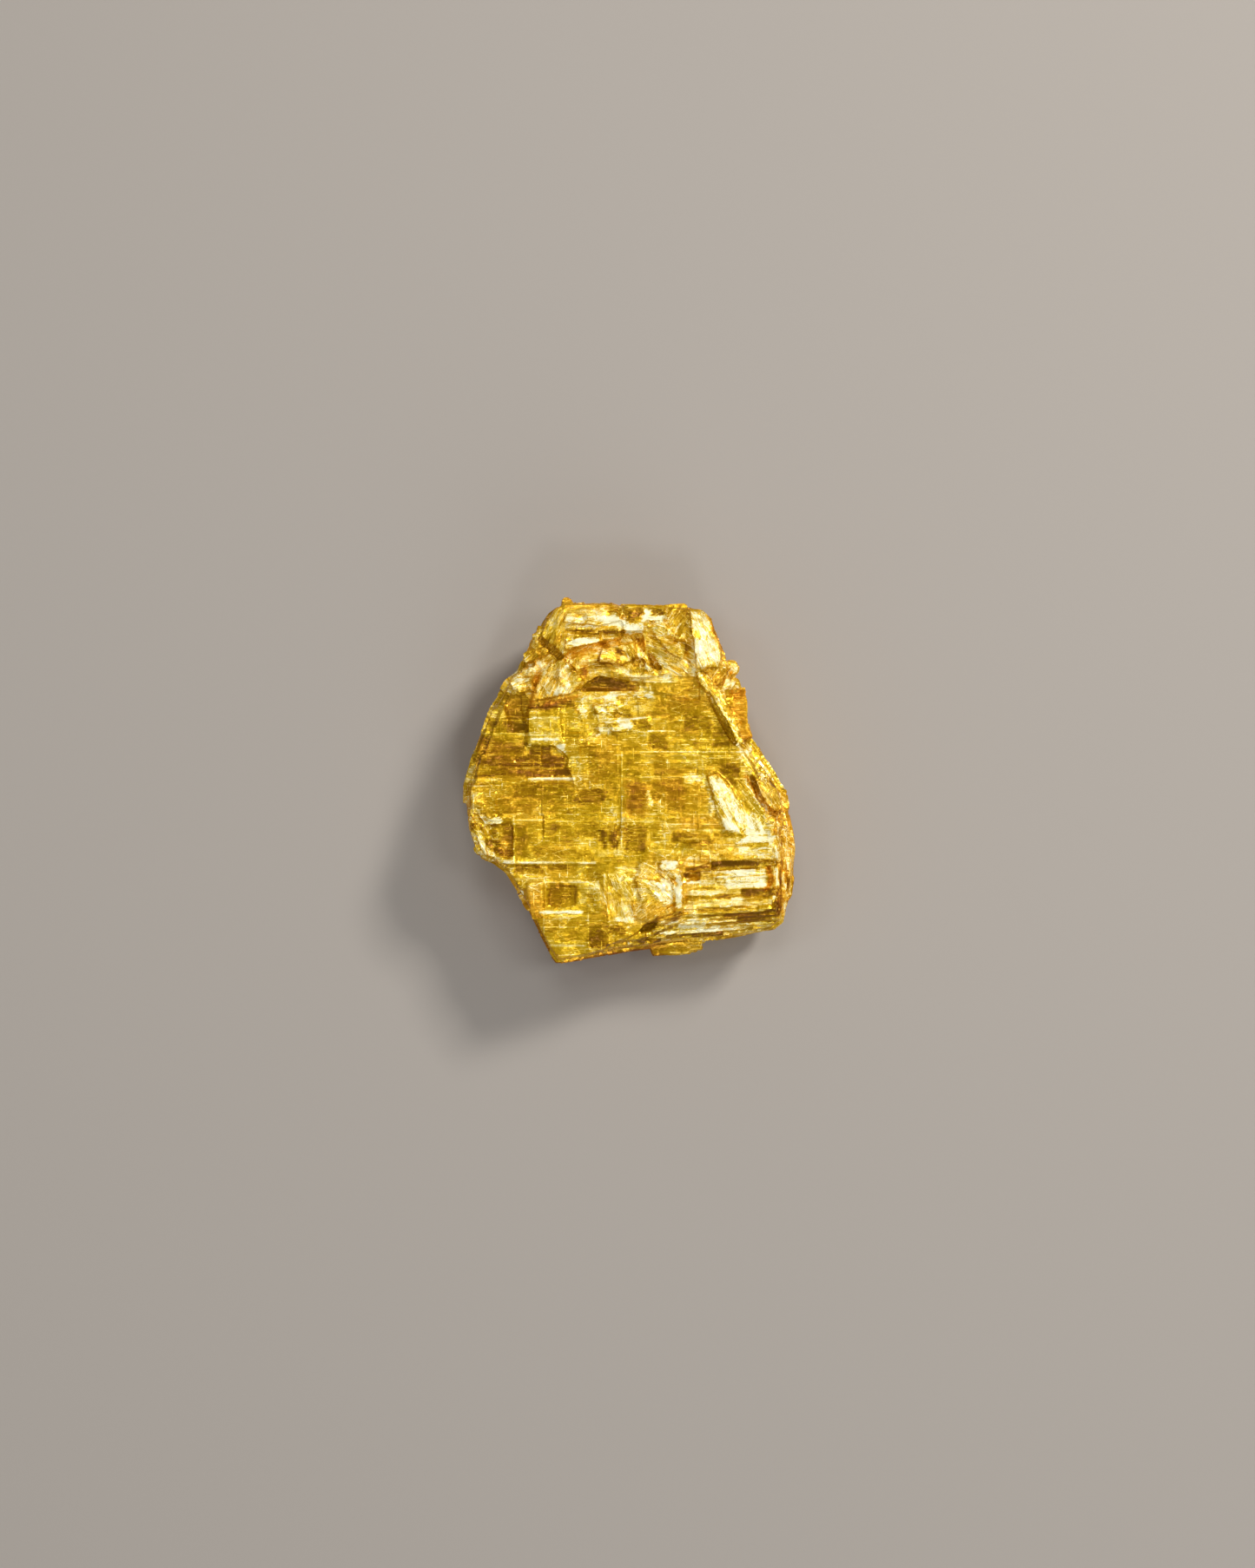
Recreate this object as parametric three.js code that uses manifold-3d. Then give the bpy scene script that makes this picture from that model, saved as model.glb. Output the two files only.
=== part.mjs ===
// Orpiment specimen: one broken slab of foliated orpiment, about 27 mm wide and 29 mm long.
// It lies on a flat cleavage plane at z = 0 with its show face up. Millimetres, +Z up, the long
// way along Y, and the origin under the middle of the slab.
//
// The slab is a stack of ragged cleavage lamellae. The show face is built on the top lamella from
// thin plates, ridges and lumps, and then cut by ledges, pits and cracks. All of it is one solid.

import * as THREE from 'three';
import { mergeVertices } from 'three/addons/utils/BufferGeometryUtils.js';
import Module from 'manifold-3d';

const wasm = await Module();
wasm.setup();

// ---------------------------------------------------------------- driving dimensions, mm

// Tops of the lamellae, from the back up. The last one is the low plate of the show face.
const LAMELLA_TOPS = [0.8, 1.3, 2.1, 2.9, 3.4, 4.3, 4.9, 5.8, 6.3, 7.1, 7.6, 8.2];
const LOW_PLATE = 8.2;
const UPPER_LAYER = 8.5;
const TOP_ZONE = 9.0;
const CAP = 9.5;

// How far each lamella's edge draws in from the outline, at the show face and at the back.
// Each side stands widest at the height given, and the power is the curve of the draw.
const SIDES = [
  { facing: [1, 0], widest: 4.6, front: 1.6, back: 1.3 },
  { facing: [-1, 0], widest: 4.0, front: 0.7, back: 1.0 },
  { facing: [0, 1], widest: 6.5, front: 0.5, back: 1.6 },
  { facing: [0, -1], widest: 1.0, front: 0.9, back: 0.1 },
];
const DRAW_POWER = 1.6;

// Broken edges: each lamella's edge steps in and out by whole steps, in runs of a few points.
const JOG_STEP = 0.16;
const JOG_LEVELS = 4;
const EDGE_SPACING = 1.7;
const RUN_SHORTEST = 2;
const RUN_LONGEST = 5;

// Height from which plates on the show face are rooted in the slab, and to which cuts open.
const PLATE_ROOT = 7.0;
const OPEN_ABOVE = 14;

// Terraces of the low right corner: thin lamellae that step down to the bottom edge. Their
// edges start at the left, bend at the two middle places, and climb a little to the right.
const TERRACE_COUNT = 6;
const TERRACE_TOP = 7.45;
const TERRACE_DROP = 0.34;
const TERRACE_FIRST_EDGE = -10.75;
const TERRACE_RUN = 0.36;
const TERRACE_LEFT = 1.2;
const TERRACE_LEFT_JOG = 0.7;
const TERRACE_LEFT_DROP = 1.0;
const TERRACE_BEND = 4.3;
const TERRACE_MIDDLE = 9.0;
const TERRACE_CLIMB = 0.07;
const BEYOND_SLAB = 16;

const OUTLINE = [
  [-5.8, 14.0], [-4.4, 14.4], [-3.0, 14.6], [-1.6, 14.5], [-0.7, 14.2], [1.5, 14.2],
  [3.0, 14.1], [4.5, 14.2], [5.9, 14.0], [6.5, 13.3], [7.2, 11.4], [7.8, 10.0],
  [8.2, 8.1], [8.5, 6.5], [8.9, 4.8], [9.8, 3.5], [10.8, 2.0], [11.7, 0.8],
  [12.5, -0.7], [12.9, -2.2], [13.3, -4.0], [13.5, -5.4], [13.3, -7.7], [13.1, -9.1],
  [12.6, -10.5], [12.4, -11.4], [11.7, -12.0], [8.7, -12.6], [6.1, -13.1], [3.1, -13.4],
  [0.0, -13.8], [-3.9, -14.5], [-6.0, -14.8], [-6.6, -14.0], [-7.5, -12.4], [-8.4, -10.6],
  [-9.2, -9.2], [-10.2, -7.5], [-11.2, -6.7], [-12.3, -6.2], [-12.8, -5.4], [-13.3, -3.8],
  [-13.5, -1.7], [-13.4, -0.3], [-12.7, 2.3], [-12.0, 4.2], [-11.3, 6.0], [-10.7, 7.0],
  [-10.0, 8.2], [-9.0, 8.9], [-8.8, 9.5], [-7.6, 11.6], [-7.0, 12.8], [-6.5, 13.5],
];

// Plates on the show face: outline, height of the top at its middle, and slope along X and Y.
const FRONT_PLATES = {
  upperLayer: {
    top: UPPER_LAYER,
    slope: [0, 0],
    outline: [
      [-8.2, 2.9], [-8.2, 5.6], [-7.8, 6.3], [-8.6, 7.2], [-9.4, 7.4], [-9.1, 8.1],
      [-8.3, 9.1], [-7.8, 10.4], [-6.8, 12.1], [-6.0, 13.5], [-1.8, 14.0], [3.1, 13.8],
      [5.6, 13.6], [6.5, 11.6], [7.2, 9.1], [7.6, 7.0], [8.0, 4.9], [8.7, 2.9],
      [9.9, 0.9], [11.0, -1.2], [11.5, -3.0], [11.8, -4.6], [11.7, -6.1], [6.5, -6.4],
      [4.2, -7.2], [4.2, -10.6], [1.7, -11.3], [-0.2, -12.4], [-2.5, -13.2], [-3.2, -12.9],
      [-1.9, -11.0], [-1.8, -6.7], [-0.7, -4.3], [-0.7, -0.5], [-2.0, -0.4], [-4.4, -0.4],
      [-4.7, 0.5], [-5.1, 1.1], [-4.9, 1.8], [-5.3, 2.3], [-6.2, 2.9],
    ],
  },
  middlePlate: {
    top: 8.34,
    slope: [0, 0.005],
    outline: [
      [-12.6, -0.3], [-4.6, -0.1], [-0.5, -0.5], [-0.5, -4.4], [-1.6, -6.5], [-9.9, -6.5],
      [-9.3, -5.9], [-9.3, -3.2], [-11.6, -3.0], [-12.6, -2.2],
    ],
  },
  bottomPlate: {
    top: 8.3,
    slope: [0.005, 0],
    outline: [[-7.0, -10.5], [-1.9, -10.4], [-1.9, -11.0], [-3.2, -12.9], [-5.6, -13.3], [-6.9, -11.6]],
  },
  leftGoldenBlock: {
    top: 8.4,
    slope: [0, 0.02],
    outline: [[-8.2, -8.0], [-6.9, -8.0], [-6.9, -10.9], [-7.8, -10.9]],
  },
  tab: {
    top: 8.74,
    slope: [-0.02, 0.02],
    outline: [[-8.1, 5.8], [-5.6, 5.9], [-5.3, 3.1], [-6.1, 2.9], [-8.1, 2.9]],
  },
  ledgeBelowTab: {
    top: 8.62,
    slope: [0, 0.02],
    outline: [[-6.0, 3.4], [-4.2, 3.2], [-2.6, 2.9], [-2.6, 2.3], [-4.6, 2.4], [-5.2, 2.6]],
  },
  topZone: {
    top: TOP_ZONE,
    slope: [-0.01, 0.02],
    outline: [
      [-7.7, 7.0], [-7.0, 9.0], [-7.7, 9.7], [-7.6, 10.9], [-6.7, 12.5], [-6.0, 13.5],
      [-1.8, 14.0], [3.1, 13.8], [5.8, 13.6], [6.6, 11.6], [7.3, 9.7], [5.6, 8.7],
      [3.1, 8.6], [1.0, 8.2], [-1.8, 8.2], [-2.5, 8.4], [-3.5, 7.7], [-4.2, 7.2],
    ],
  },
  topZoneFoot: {
    top: 8.75,
    slope: [0.0, 0.12],
    outline: [[0.8, 8.4], [3.1, 8.7], [5.8, 8.8], [5.6, 7.6], [3.4, 6.9], [1.2, 7.3]],
  },
  cap: {
    top: CAP,
    slope: [0.01, -0.03],
    outline: [
      [-7.1, 11.2], [-6.7, 12.5], [-6.0, 13.6], [-5.1, 14.1], [-1.8, 14.1], [-0.5, 13.8],
      [-0.5, 12.5], [-0.7, 11.4], [-3.2, 10.9], [-4.6, 10.5], [-5.3, 9.9], [-6.3, 10.4],
    ],
  },
  capMiddleBand: {
    top: 9.9,
    slope: [0.0, 0.05],
    outline: [[-5.3, 12.6], [-5.0, 13.3], [-1.0, 13.5], [-0.7, 12.7], [-2.4, 12.3]],
  },
  capLowerBand: {
    top: 9.85,
    slope: [0.0, -0.12],
    outline: [[-5.2, 10.4], [-5.0, 11.5], [-2.4, 11.7], [-2.5, 11.0], [-4.4, 10.6]],
  },
  goldenBlock: {
    top: 9.75,
    slope: [0.06, 0.04],
    outline: [[-0.5, 14.0], [1.0, 14.0], [1.0, 12.9], [-0.5, 12.9]],
  },
  whiteBlock: {
    top: 9.95,
    slope: [0.02, -0.1],
    outline: [[-0.6, 12.8], [1.1, 12.8], [1.1, 11.9], [-0.6, 11.9]],
  },
  cornerBlock: {
    top: 9.6,
    slope: [-0.05, 0.09],
    outline: [[1.2, 13.9], [2.8, 13.8], [3.0, 12.9], [1.2, 12.7]],
  },
  goldenScarp: {
    top: 9.45,
    slope: [0.1, -0.06],
    outline: [[1.3, 12.5], [2.6, 12.6], [4.4, 11.0], [4.2, 9.6], [2.9, 10.3]],
  },
  centreShard: {
    top: 9.5,
    slope: [-0.08, 0.07],
    outline: [[-2.2, 10.6], [0.3, 11.0], [0.5, 9.9], [-0.6, 9.2], [-2.6, 9.4]],
  },
  paleBand: {
    top: 9.5,
    slope: [-0.14, 0.02],
    outline: [[4.7, 13.6], [5.7, 13.6], [6.4, 12.9], [7.3, 10.0], [7.0, 9.0], [5.2, 9.0]],
  },
  rightPocketWall: {
    top: 8.7,
    slope: [-0.3, 0.1],
    outline: [[6.0, 8.9], [7.5, 9.3], [8.0, 8.2], [8.0, 7.4], [7.0, 7.2]],
  },
  ridge: {
    top: 9.2,
    slope: [-0.2, -0.1],
    outline: [
      [5.1, 9.1], [6.1, 8.9], [7.2, 7.0], [8.2, 5.3], [9.0, 3.1], [8.3, 2.8],
      [7.3, 4.8], [6.1, 6.9], [5.4, 7.9],
    ],
  },
  flap: {
    top: 9.6,
    slope: [0.14, -0.05],
    outline: [[-6.8, 9.0], [-5.3, 9.8], [-3.7, 8.0], [-4.6, 7.0], [-7.9, 6.3]],
  },
  shoulder: {
    top: 9.0,
    slope: [0.12, -0.08],
    outline: [[-9.6, 8.0], [-8.9, 8.6], [-7.8, 8.5], [-7.7, 7.3], [-9.3, 7.3]],
  },
  whiteLedge: {
    top: 8.75,
    slope: [-0.1, 0.12],
    outline: [[-3.0, 6.1], [-1.1, 6.4], [-0.7, 5.9], [-1.6, 5.3], [-2.7, 5.4]],
  },
  whiteStep: {
    top: 8.72,
    slope: [-0.03, 0.1],
    outline: [[-2.6, 4.5], [0.2, 4.8], [1.5, 4.5], [0.2, 4.1], [-2.4, 3.9]],
  },
  curvedFacet: {
    top: 8.66,
    slope: [-0.09, 0.02],
    outline: [
      [6.1, 0.4], [6.9, 0.7], [7.9, -0.3], [9.3, -2.6], [10.7, -3.2], [10.7, -4.2],
      [7.7, -4.0], [6.8, -2.1],
    ],
  },
  rightBump: {
    top: 8.5,
    slope: [-0.3, 0.05],
    outline: [[10.0, 0.0], [10.8, 0.3], [11.8, -0.9], [12.2, -2.6], [11.2, -2.2], [10.4, -1.1]],
  },
  lowerFold: {
    top: 8.8,
    slope: [0.1, -0.05],
    outline: [[2.4, -6.3], [3.9, -6.2], [4.0, -7.5], [3.0, -7.8], [2.2, -7.1]],
  },
  foldStrip: {
    top: 8.85,
    slope: [0.16, 0.0],
    outline: [[3.4, -7.6], [4.2, -7.5], [4.2, -10.3], [3.5, -10.4]],
  },
  foldLeft: {
    top: 8.75,
    slope: [-0.1, 0.08],
    outline: [[0.4, -7.6], [2.8, -7.9], [2.9, -9.2], [0.9, -9.6]],
  },
  foldLow: {
    top: 8.75,
    slope: [0.1, 0.1],
    outline: [[-0.9, -9.6], [2.7, -9.5], [3.2, -10.5], [1.5, -11.1], [-0.6, -10.7]],
  },
};

// Cuts in the show face: outline, height of the floor at its middle, and slope along X and Y.
const FRONT_CUTS = {
  lowerTread: {
    floor: 7.8,
    slope: [0.01, 0.02],
    outline: [
      [6.5, -6.4], [12.2, -6.3], [14.5, -5.9], [14.5, -13.3], [2.4, -14.0],
      [4.2, -10.6], [4.2, -7.2], [6.5, -7.1],
    ],
  },
  hollow: {
    floor: 8.05,
    slope: [0.0, 0.06],
    outline: [[-4.0, 7.3], [-3.5, 7.8], [-2.5, 8.4], [-0.2, 8.0], [0.7, 7.9], [0.7, 7.2]],
  },
  topCrevice: {
    floor: 8.5,
    slope: [0, 0],
    outline: [[0.5, 11.7], [1.0, 11.7], [1.2, 10.4], [0.9, 10.1]],
  },
  diagonalCrack: {
    floor: 8.4,
    slope: [0, 0],
    outline: [[1.3, 10.3], [1.8, 10.0], [2.7, 8.7], [1.7, 9.0]],
  },
  darkPit: {
    floor: 8.4,
    slope: [0.1, 0],
    outline: [[0.0, 9.8], [1.1, 9.8], [1.2, 9.1], [0.3, 9.2]],
  },
  capCrease: {
    floor: 8.6,
    slope: [0, 0],
    outline: [[-7.5, 11.4], [-7.0, 11.5], [-5.4, 10.1], [-5.2, 9.8], [-5.6, 9.6]],
  },
  ridgeGroove: {
    floor: 8.2,
    slope: [0, 0],
    outline: [[5.6, 7.9], [6.0, 7.5], [7.6, 4.9], [8.5, 3.0], [8.2, 2.8], [7.2, 4.6]],
  },
  rightCrevice: {
    floor: 7.5,
    slope: [0, 0],
    outline: [
      [9.4, 0.6], [9.8, 0.4], [10.4, -1.1], [11.3, -2.2], [12.3, -2.5], [12.4, -3.0],
      [10.9, -2.6], [10.1, -1.5],
    ],
  },
  leftPocket: {
    floor: 7.75,
    slope: [0.1, 0],
    outline: [[-9.3, -8.5], [-8.3, -8.5], [-8.3, -9.7], [-8.9, -9.7]],
  },
  cornerCrack: {
    floor: 7.2,
    slope: [0, 0],
    outline: [[0.4, -12.1], [1.3, -11.2], [2.3, -11.1], [1.7, -11.8]],
  },
  darkBox: {
    floor: 7.45,
    slope: [0, 0],
    outline: [[4.4, -7.3], [5.6, -7.2], [5.6, -7.8], [4.4, -7.9]],
  },
  leftWindow: {
    floor: 7.9,
    slope: [0.05, 0],
    outline: [[-11.6, -3.5], [-9.4, -3.3], [-9.4, -5.9], [-11.3, -5.9]],
  },
  lowWindow: {
    floor: 8.0,
    slope: [0, 0.04],
    outline: [[-6.5, -8.2], [-4.2, -8.2], [-4.2, -9.9], [-6.5, -9.9]],
  },
  upperLeftWindow: {
    floor: 7.95,
    slope: [0.04, 0.02],
    outline: [[-10.2, 7.0], [-8.6, 7.0], [-8.3, 4.2], [-9.4, 4.1]],
  },
};

// Small plates that stand out from the sides: height of the underside and top, and outline.
const EDGE_PLATES = {
  lug: {
    from: 5.4,
    to: 7.0,
    outline: [[7.0, 7.3], [9.1, 7.5], [9.3, 6.3], [9.3, 4.9], [9.8, 3.6], [8.0, 3.1]],
  },
  upperSpur: {
    from: 7.2,
    to: 8.0,
    outline: [[6.8, 9.7], [8.3, 9.6], [8.7, 9.1], [8.5, 8.6], [6.8, 8.3]],
  },
  lowerSpur: {
    from: 6.6,
    to: 7.5,
    outline: [[6.8, 8.4], [8.6, 8.2], [8.8, 7.7], [8.6, 7.4], [6.8, 7.2]],
  },
  bottomFlake: {
    from: 3.6,
    to: 4.5,
    outline: [[1.2, -12.6], [5.9, -12.3], [5.8, -13.5], [4.5, -13.9], [3.0, -14.0], [1.8, -14.1]],
  },
  topNub: {
    from: 7.7,
    to: 8.9,
    outline: [[-5.6, 13.4], [-5.4, 14.5], [-5.0, 14.7], [-4.6, 14.4], [-4.4, 13.4]],
  },
};

// Flakes broken away from the rim of the flat back: height of the break and outline.
const BACK_BREAKS = {
  leftCorner: {
    to: 0.5,
    outline: [[-14.5, -8.0], [-10.4, -7.0], [-9.5, -3.1], [-11.2, 1.6], [-14.5, 2.0]],
  },
  topRim: {
    to: 0.7,
    outline: [[-4.0, 16.0], [-2.8, 11.3], [1.4, 10.6], [4.4, 11.6], [5.2, 16.0]],
  },
  rightRim: {
    to: 0.4,
    outline: [[14.5, -2.0], [10.2, -3.2], [9.4, -6.8], [10.6, -9.4], [14.5, -10.0]],
  },
};

// Crumbs: small tilted crystals grown on the rim, in three clusters.
const CRUMB_CLUSTERS = [
  { count: 13, from: [-12.3, -2.6], to: [-10.1, -6.2], spread: 0.5, height: 7.95, size: 0.75 },
  { count: 10, from: [-7.6, 9.5], to: [-6.2, 12.9], spread: 0.4, height: 8.95, size: 0.7 },
  { count: 7, from: [-9.1, 7.7], to: [-7.5, 9.0], spread: 0.35, height: 8.75, size: 0.6 },
];
const CRUMB_TILT = 0.55;
const CRUMB_LENGTH = 1.5;
const CRUMB_THICKNESS = 0.6;

// Seeds of the broken edges, one for each lamella, and of the crumbs.
const EDGE_SEED = 11;
const EDGE_SEED_STEP = 7;
const CRUMB_SEED = 7;

// ---------------------------------------------------------------- helpers

// A small repeatable random source: the same seed gives the same broken edges every time.
function seededRandom(seed) {
  let state = seed;
  return () => {
    state = (state * 1664525 + 1013904223) % 4294967296;
    return state / 4294967296;
  };
}

// A closed three.js geometry as a solid that can be joined and cut.
function toSolid(geometry) {
  geometry.deleteAttribute('normal');
  geometry.deleteAttribute('uv');
  const merged = mergeVertices(geometry, 1e-5);
  return new wasm.Manifold(new wasm.Mesh({
    numProp: 3,
    vertProperties: new Float32Array(merged.attributes.position.array),
    triVerts: new Uint32Array(merged.index.array),
  }));
}

function middleOf(outline) {
  const sum = outline.reduce(([sx, sy], [x, y]) => [sx + x, sy + y], [0, 0]);
  return sum.map((total) => total / outline.length);
}

// A flat plate between two heights. A slope tips it about the middle of its outline.
function plate(outline, from, to, slope = [0, 0]) {
  const shape = new THREE.Shape(outline.map(([x, y]) => new THREE.Vector2(x, y)));
  const geometry = new THREE.ExtrudeGeometry(shape, { depth: to - from, bevelEnabled: false });
  geometry.translate(0, 0, from);
  const [middleX, middleY] = middleOf(outline);
  const position = geometry.attributes.position;
  for (let i = 0; i < position.count; i += 1) {
    const rise = (position.getX(i) - middleX) * slope[0] + (position.getY(i) - middleY) * slope[1];
    position.setZ(i, position.getZ(i) + rise);
  }
  return toSolid(geometry);
}

// The outline with extra points on its long stretches, so that its edge can break into runs.
function spacedOutline(outline, spacing) {
  const points = [];
  outline.forEach(([x, y], i) => {
    const [nextX, nextY] = outline[(i + 1) % outline.length];
    const pieces = Math.max(1, Math.round(Math.hypot(nextX - x, nextY - y) / spacing));
    for (let k = 0; k < pieces; k += 1) {
      const t = k / pieces;
      points.push([x + (nextX - x) * t, y + (nextY - y) * t]);
    }
  });
  return points;
}

// How far the edge of the slab draws in at a height, in the direction out from the middle.
function drawIn([outX, outY], height) {
  return SIDES.reduce((total, side) => {
    const facing = Math.max(0, outX * side.facing[0] + outY * side.facing[1]) ** 2;
    const depth = height > side.widest
      ? side.front * ((height - side.widest) / (LOW_PLATE - side.widest)) ** DRAW_POWER
      : side.back * ((side.widest - height) / side.widest) ** DRAW_POWER;
    return total + facing * depth;
  }, 0);
}

function movedIn([x, y], distance) {
  const reach = Math.hypot(x, y);
  return [x * (1 - distance / reach), y * (1 - distance / reach)];
}

// One lamella's outline: the slab's outline drawn in for its height, with a broken edge.
function lamellaOutline(points, height, random) {
  const outline = [];
  let left = 0;
  let jog = 0;
  points.forEach((point) => {
    const reach = Math.hypot(...point);
    const draw = drawIn(point.map((value) => value / reach), height);
    outline.push(movedIn(point, draw + jog));
    left -= 1;
    if (left <= 0) {
      left = RUN_SHORTEST + Math.floor(random() * (RUN_LONGEST - RUN_SHORTEST + 1));
      const nextJog = JOG_STEP * Math.floor(random() * JOG_LEVELS);
      if (nextJog !== jog) {
        outline.push(movedIn(point, draw + nextJog));
      }
      jog = nextJog;
    }
  });
  return outline;
}

// ---------------------------------------------------------------- the slab

function lamellaStack() {
  const points = spacedOutline(OUTLINE, EDGE_SPACING);
  let stack = null;
  let from = 0;
  LAMELLA_TOPS.forEach((to, i) => {
    const outline = lamellaOutline(points, (from + to) / 2, seededRandom(EDGE_SEED + EDGE_SEED_STEP * i));
    const lamella = plate(outline, from, to);
    stack = stack ? stack.add(lamella) : lamella;
    from = to;
  });
  return stack;
}

// The lamellae of the low right corner, each one lower and nearer to the bottom edge.
function terraceCuts() {
  const cuts = [];
  for (let i = 0; i < TERRACE_COUNT; i += 1) {
    const edge = TERRACE_FIRST_EDGE - i * TERRACE_RUN;
    const outline = [
      [TERRACE_LEFT + TERRACE_LEFT_JOG * (i % 2), edge - TERRACE_LEFT_DROP],
      [TERRACE_BEND, edge],
      [TERRACE_MIDDLE, edge + (TERRACE_MIDDLE - TERRACE_BEND) * TERRACE_CLIMB],
      [BEYOND_SLAB, edge + (BEYOND_SLAB - TERRACE_BEND) * TERRACE_CLIMB],
      [BEYOND_SLAB, -BEYOND_SLAB],
      [TERRACE_LEFT, -BEYOND_SLAB],
    ];
    cuts.push(plate(outline, TERRACE_TOP - i * TERRACE_DROP, OPEN_ABOVE));
  }
  return cuts;
}

function crumbs(random) {
  const either = (most) => (random() - 0.5) * 2 * most;
  const solids = [];
  CRUMB_CLUSTERS.forEach(({ count, from, to, spread, height, size }) => {
    for (let i = 0; i < count; i += 1) {
      const along = (i + random()) / count;
      const edge = size * (0.7 + 0.6 * random());
      const geometry = new THREE.BoxGeometry(edge, edge * CRUMB_LENGTH, edge * CRUMB_THICKNESS);
      geometry.rotateX(either(CRUMB_TILT));
      geometry.rotateY(either(CRUMB_TILT));
      geometry.rotateZ(random() * Math.PI);
      geometry.translate(
        from[0] + (to[0] - from[0]) * along + either(spread),
        from[1] + (to[1] - from[1]) * along + either(spread),
        height + either(size * CRUMB_THICKNESS / 2),
      );
      solids.push(toSolid(geometry));
    }
  });
  return solids;
}

function orpimentSlab() {
  let slab = lamellaStack();
  for (const { outline, from, to } of Object.values(EDGE_PLATES)) {
    slab = slab.add(plate(outline, from, to));
  }
  for (const { outline, top, slope } of Object.values(FRONT_PLATES)) {
    slab = slab.add(plate(outline, PLATE_ROOT, top, slope));
  }
  for (const crumb of crumbs(seededRandom(CRUMB_SEED))) {
    slab = slab.add(crumb);
  }
  for (const { outline, floor, slope } of Object.values(FRONT_CUTS)) {
    slab = slab.subtract(plate(outline, floor, OPEN_ABOVE, slope));
  }
  for (const cut of terraceCuts()) {
    slab = slab.subtract(cut);
  }
  for (const { outline, to } of Object.values(BACK_BREAKS)) {
    slab = slab.subtract(plate(outline, -1, to));
  }
  return slab;
}

// ---------------------------------------------------------------- the mesh

function toGeometry(solid) {
  const { vertProperties, triVerts, numProp } = solid.getMesh();
  const geometry = new THREE.BufferGeometry();
  const positions = new Float32Array((vertProperties.length / numProp) * 3);
  for (let i = 0; i < positions.length / 3; i += 1) {
    positions.set(vertProperties.subarray(i * numProp, i * numProp + 3), i * 3);
  }
  geometry.setAttribute('position', new THREE.BufferAttribute(positions, 3));
  geometry.setIndex(Array.from(triVerts));
  return geometry;
}

// The origin goes to the middle of the slab's plan, on the plane that it lies on.
function centred(geometry) {
  geometry.computeBoundingBox();
  const { min, max } = geometry.boundingBox;
  geometry.translate(-(min.x + max.x) / 2, -(min.y + max.y) / 2, -min.z);
  geometry.computeVertexNormals();
  return geometry;
}

const orpiment = new THREE.Mesh(
  centred(toGeometry(orpimentSlab())),
  new THREE.MeshStandardMaterial({ color: 0xd6a51e, roughness: 0.35, metalness: 0.1 }),
);
orpiment.name = 'orpiment_slab';

const group = new THREE.Group();
group.add(orpiment);

export default group;
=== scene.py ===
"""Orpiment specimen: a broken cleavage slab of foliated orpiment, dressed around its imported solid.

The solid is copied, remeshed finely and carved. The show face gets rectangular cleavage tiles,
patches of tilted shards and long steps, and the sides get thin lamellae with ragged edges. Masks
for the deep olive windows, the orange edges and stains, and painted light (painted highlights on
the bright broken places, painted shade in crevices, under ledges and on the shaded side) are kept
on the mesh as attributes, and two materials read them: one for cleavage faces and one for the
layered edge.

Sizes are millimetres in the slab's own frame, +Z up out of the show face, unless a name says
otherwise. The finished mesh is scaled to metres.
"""

from __future__ import annotations

import logging
from dataclasses import dataclass, field
from enum import Enum

import bmesh
import bpy
import numpy as np
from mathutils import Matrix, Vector

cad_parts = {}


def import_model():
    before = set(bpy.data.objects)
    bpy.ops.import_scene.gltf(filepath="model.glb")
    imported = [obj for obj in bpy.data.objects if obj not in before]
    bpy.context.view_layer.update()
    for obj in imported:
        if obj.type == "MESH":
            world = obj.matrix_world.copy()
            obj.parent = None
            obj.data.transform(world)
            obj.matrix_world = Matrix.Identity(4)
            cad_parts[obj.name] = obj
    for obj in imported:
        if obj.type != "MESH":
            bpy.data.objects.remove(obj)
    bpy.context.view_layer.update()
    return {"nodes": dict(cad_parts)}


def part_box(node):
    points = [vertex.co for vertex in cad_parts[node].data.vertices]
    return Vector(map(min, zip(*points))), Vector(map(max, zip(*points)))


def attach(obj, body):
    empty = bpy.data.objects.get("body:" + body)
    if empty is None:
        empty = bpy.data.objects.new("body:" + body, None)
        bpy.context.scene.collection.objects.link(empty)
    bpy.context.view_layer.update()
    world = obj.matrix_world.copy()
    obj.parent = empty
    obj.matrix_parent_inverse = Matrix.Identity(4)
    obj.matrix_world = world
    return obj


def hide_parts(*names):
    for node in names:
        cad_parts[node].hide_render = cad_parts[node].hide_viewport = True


LOG = logging.getLogger("orpiment")

FAR_AWAY = 9.0
METRES_PER_MM = 0.001
MM_PER_METRE = 1000.0
SLAB_NODE = "orpiment_slab"
SLAB_BODY = "root"

Point = tuple[float, float]
Outline = tuple[Point, ...]
Colour = tuple[float, float, float, float]


# ------------------------------------------------------------------------------ measuring


def smooth_ramp(low: float, high: float, value: np.ndarray) -> np.ndarray:
    """Eases from 0 at low to 1 at high.

    Args:
        low: value at which the ramp leaves 0.
        high: value at which the ramp reaches 1.
        value: the values to ease.

    Returns:
        The eased values, each from 0 to 1.
    """
    t = np.clip((value - low) / (high - low), 0.0, 1.0)
    return t * t * (3.0 - 2.0 * t)


def distance_to_path(places: np.ndarray, path: Outline, closed: bool) -> np.ndarray:
    """Measures how far each place is from a path of straight stretches.

    Args:
        places: places in the plan, one row each.
        path: the path's corners.
        closed: whether the last corner joins the first.

    Returns:
        The distance of each place from the path's nearest stretch.
    """
    nearest = np.full(len(places), np.inf)
    corners = np.array(path, float)
    last = len(corners) if closed else len(corners) - 1
    for i in range(last):
        start = corners[i]
        along = corners[(i + 1) % len(corners)] - start
        t = np.clip(((places - start) @ along) / max(along @ along, 1e-12), 0.0, 1.0)
        gap = np.linalg.norm(places - (start + t[:, None] * along), axis=1)
        nearest = np.minimum(nearest, gap)
    return nearest


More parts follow.
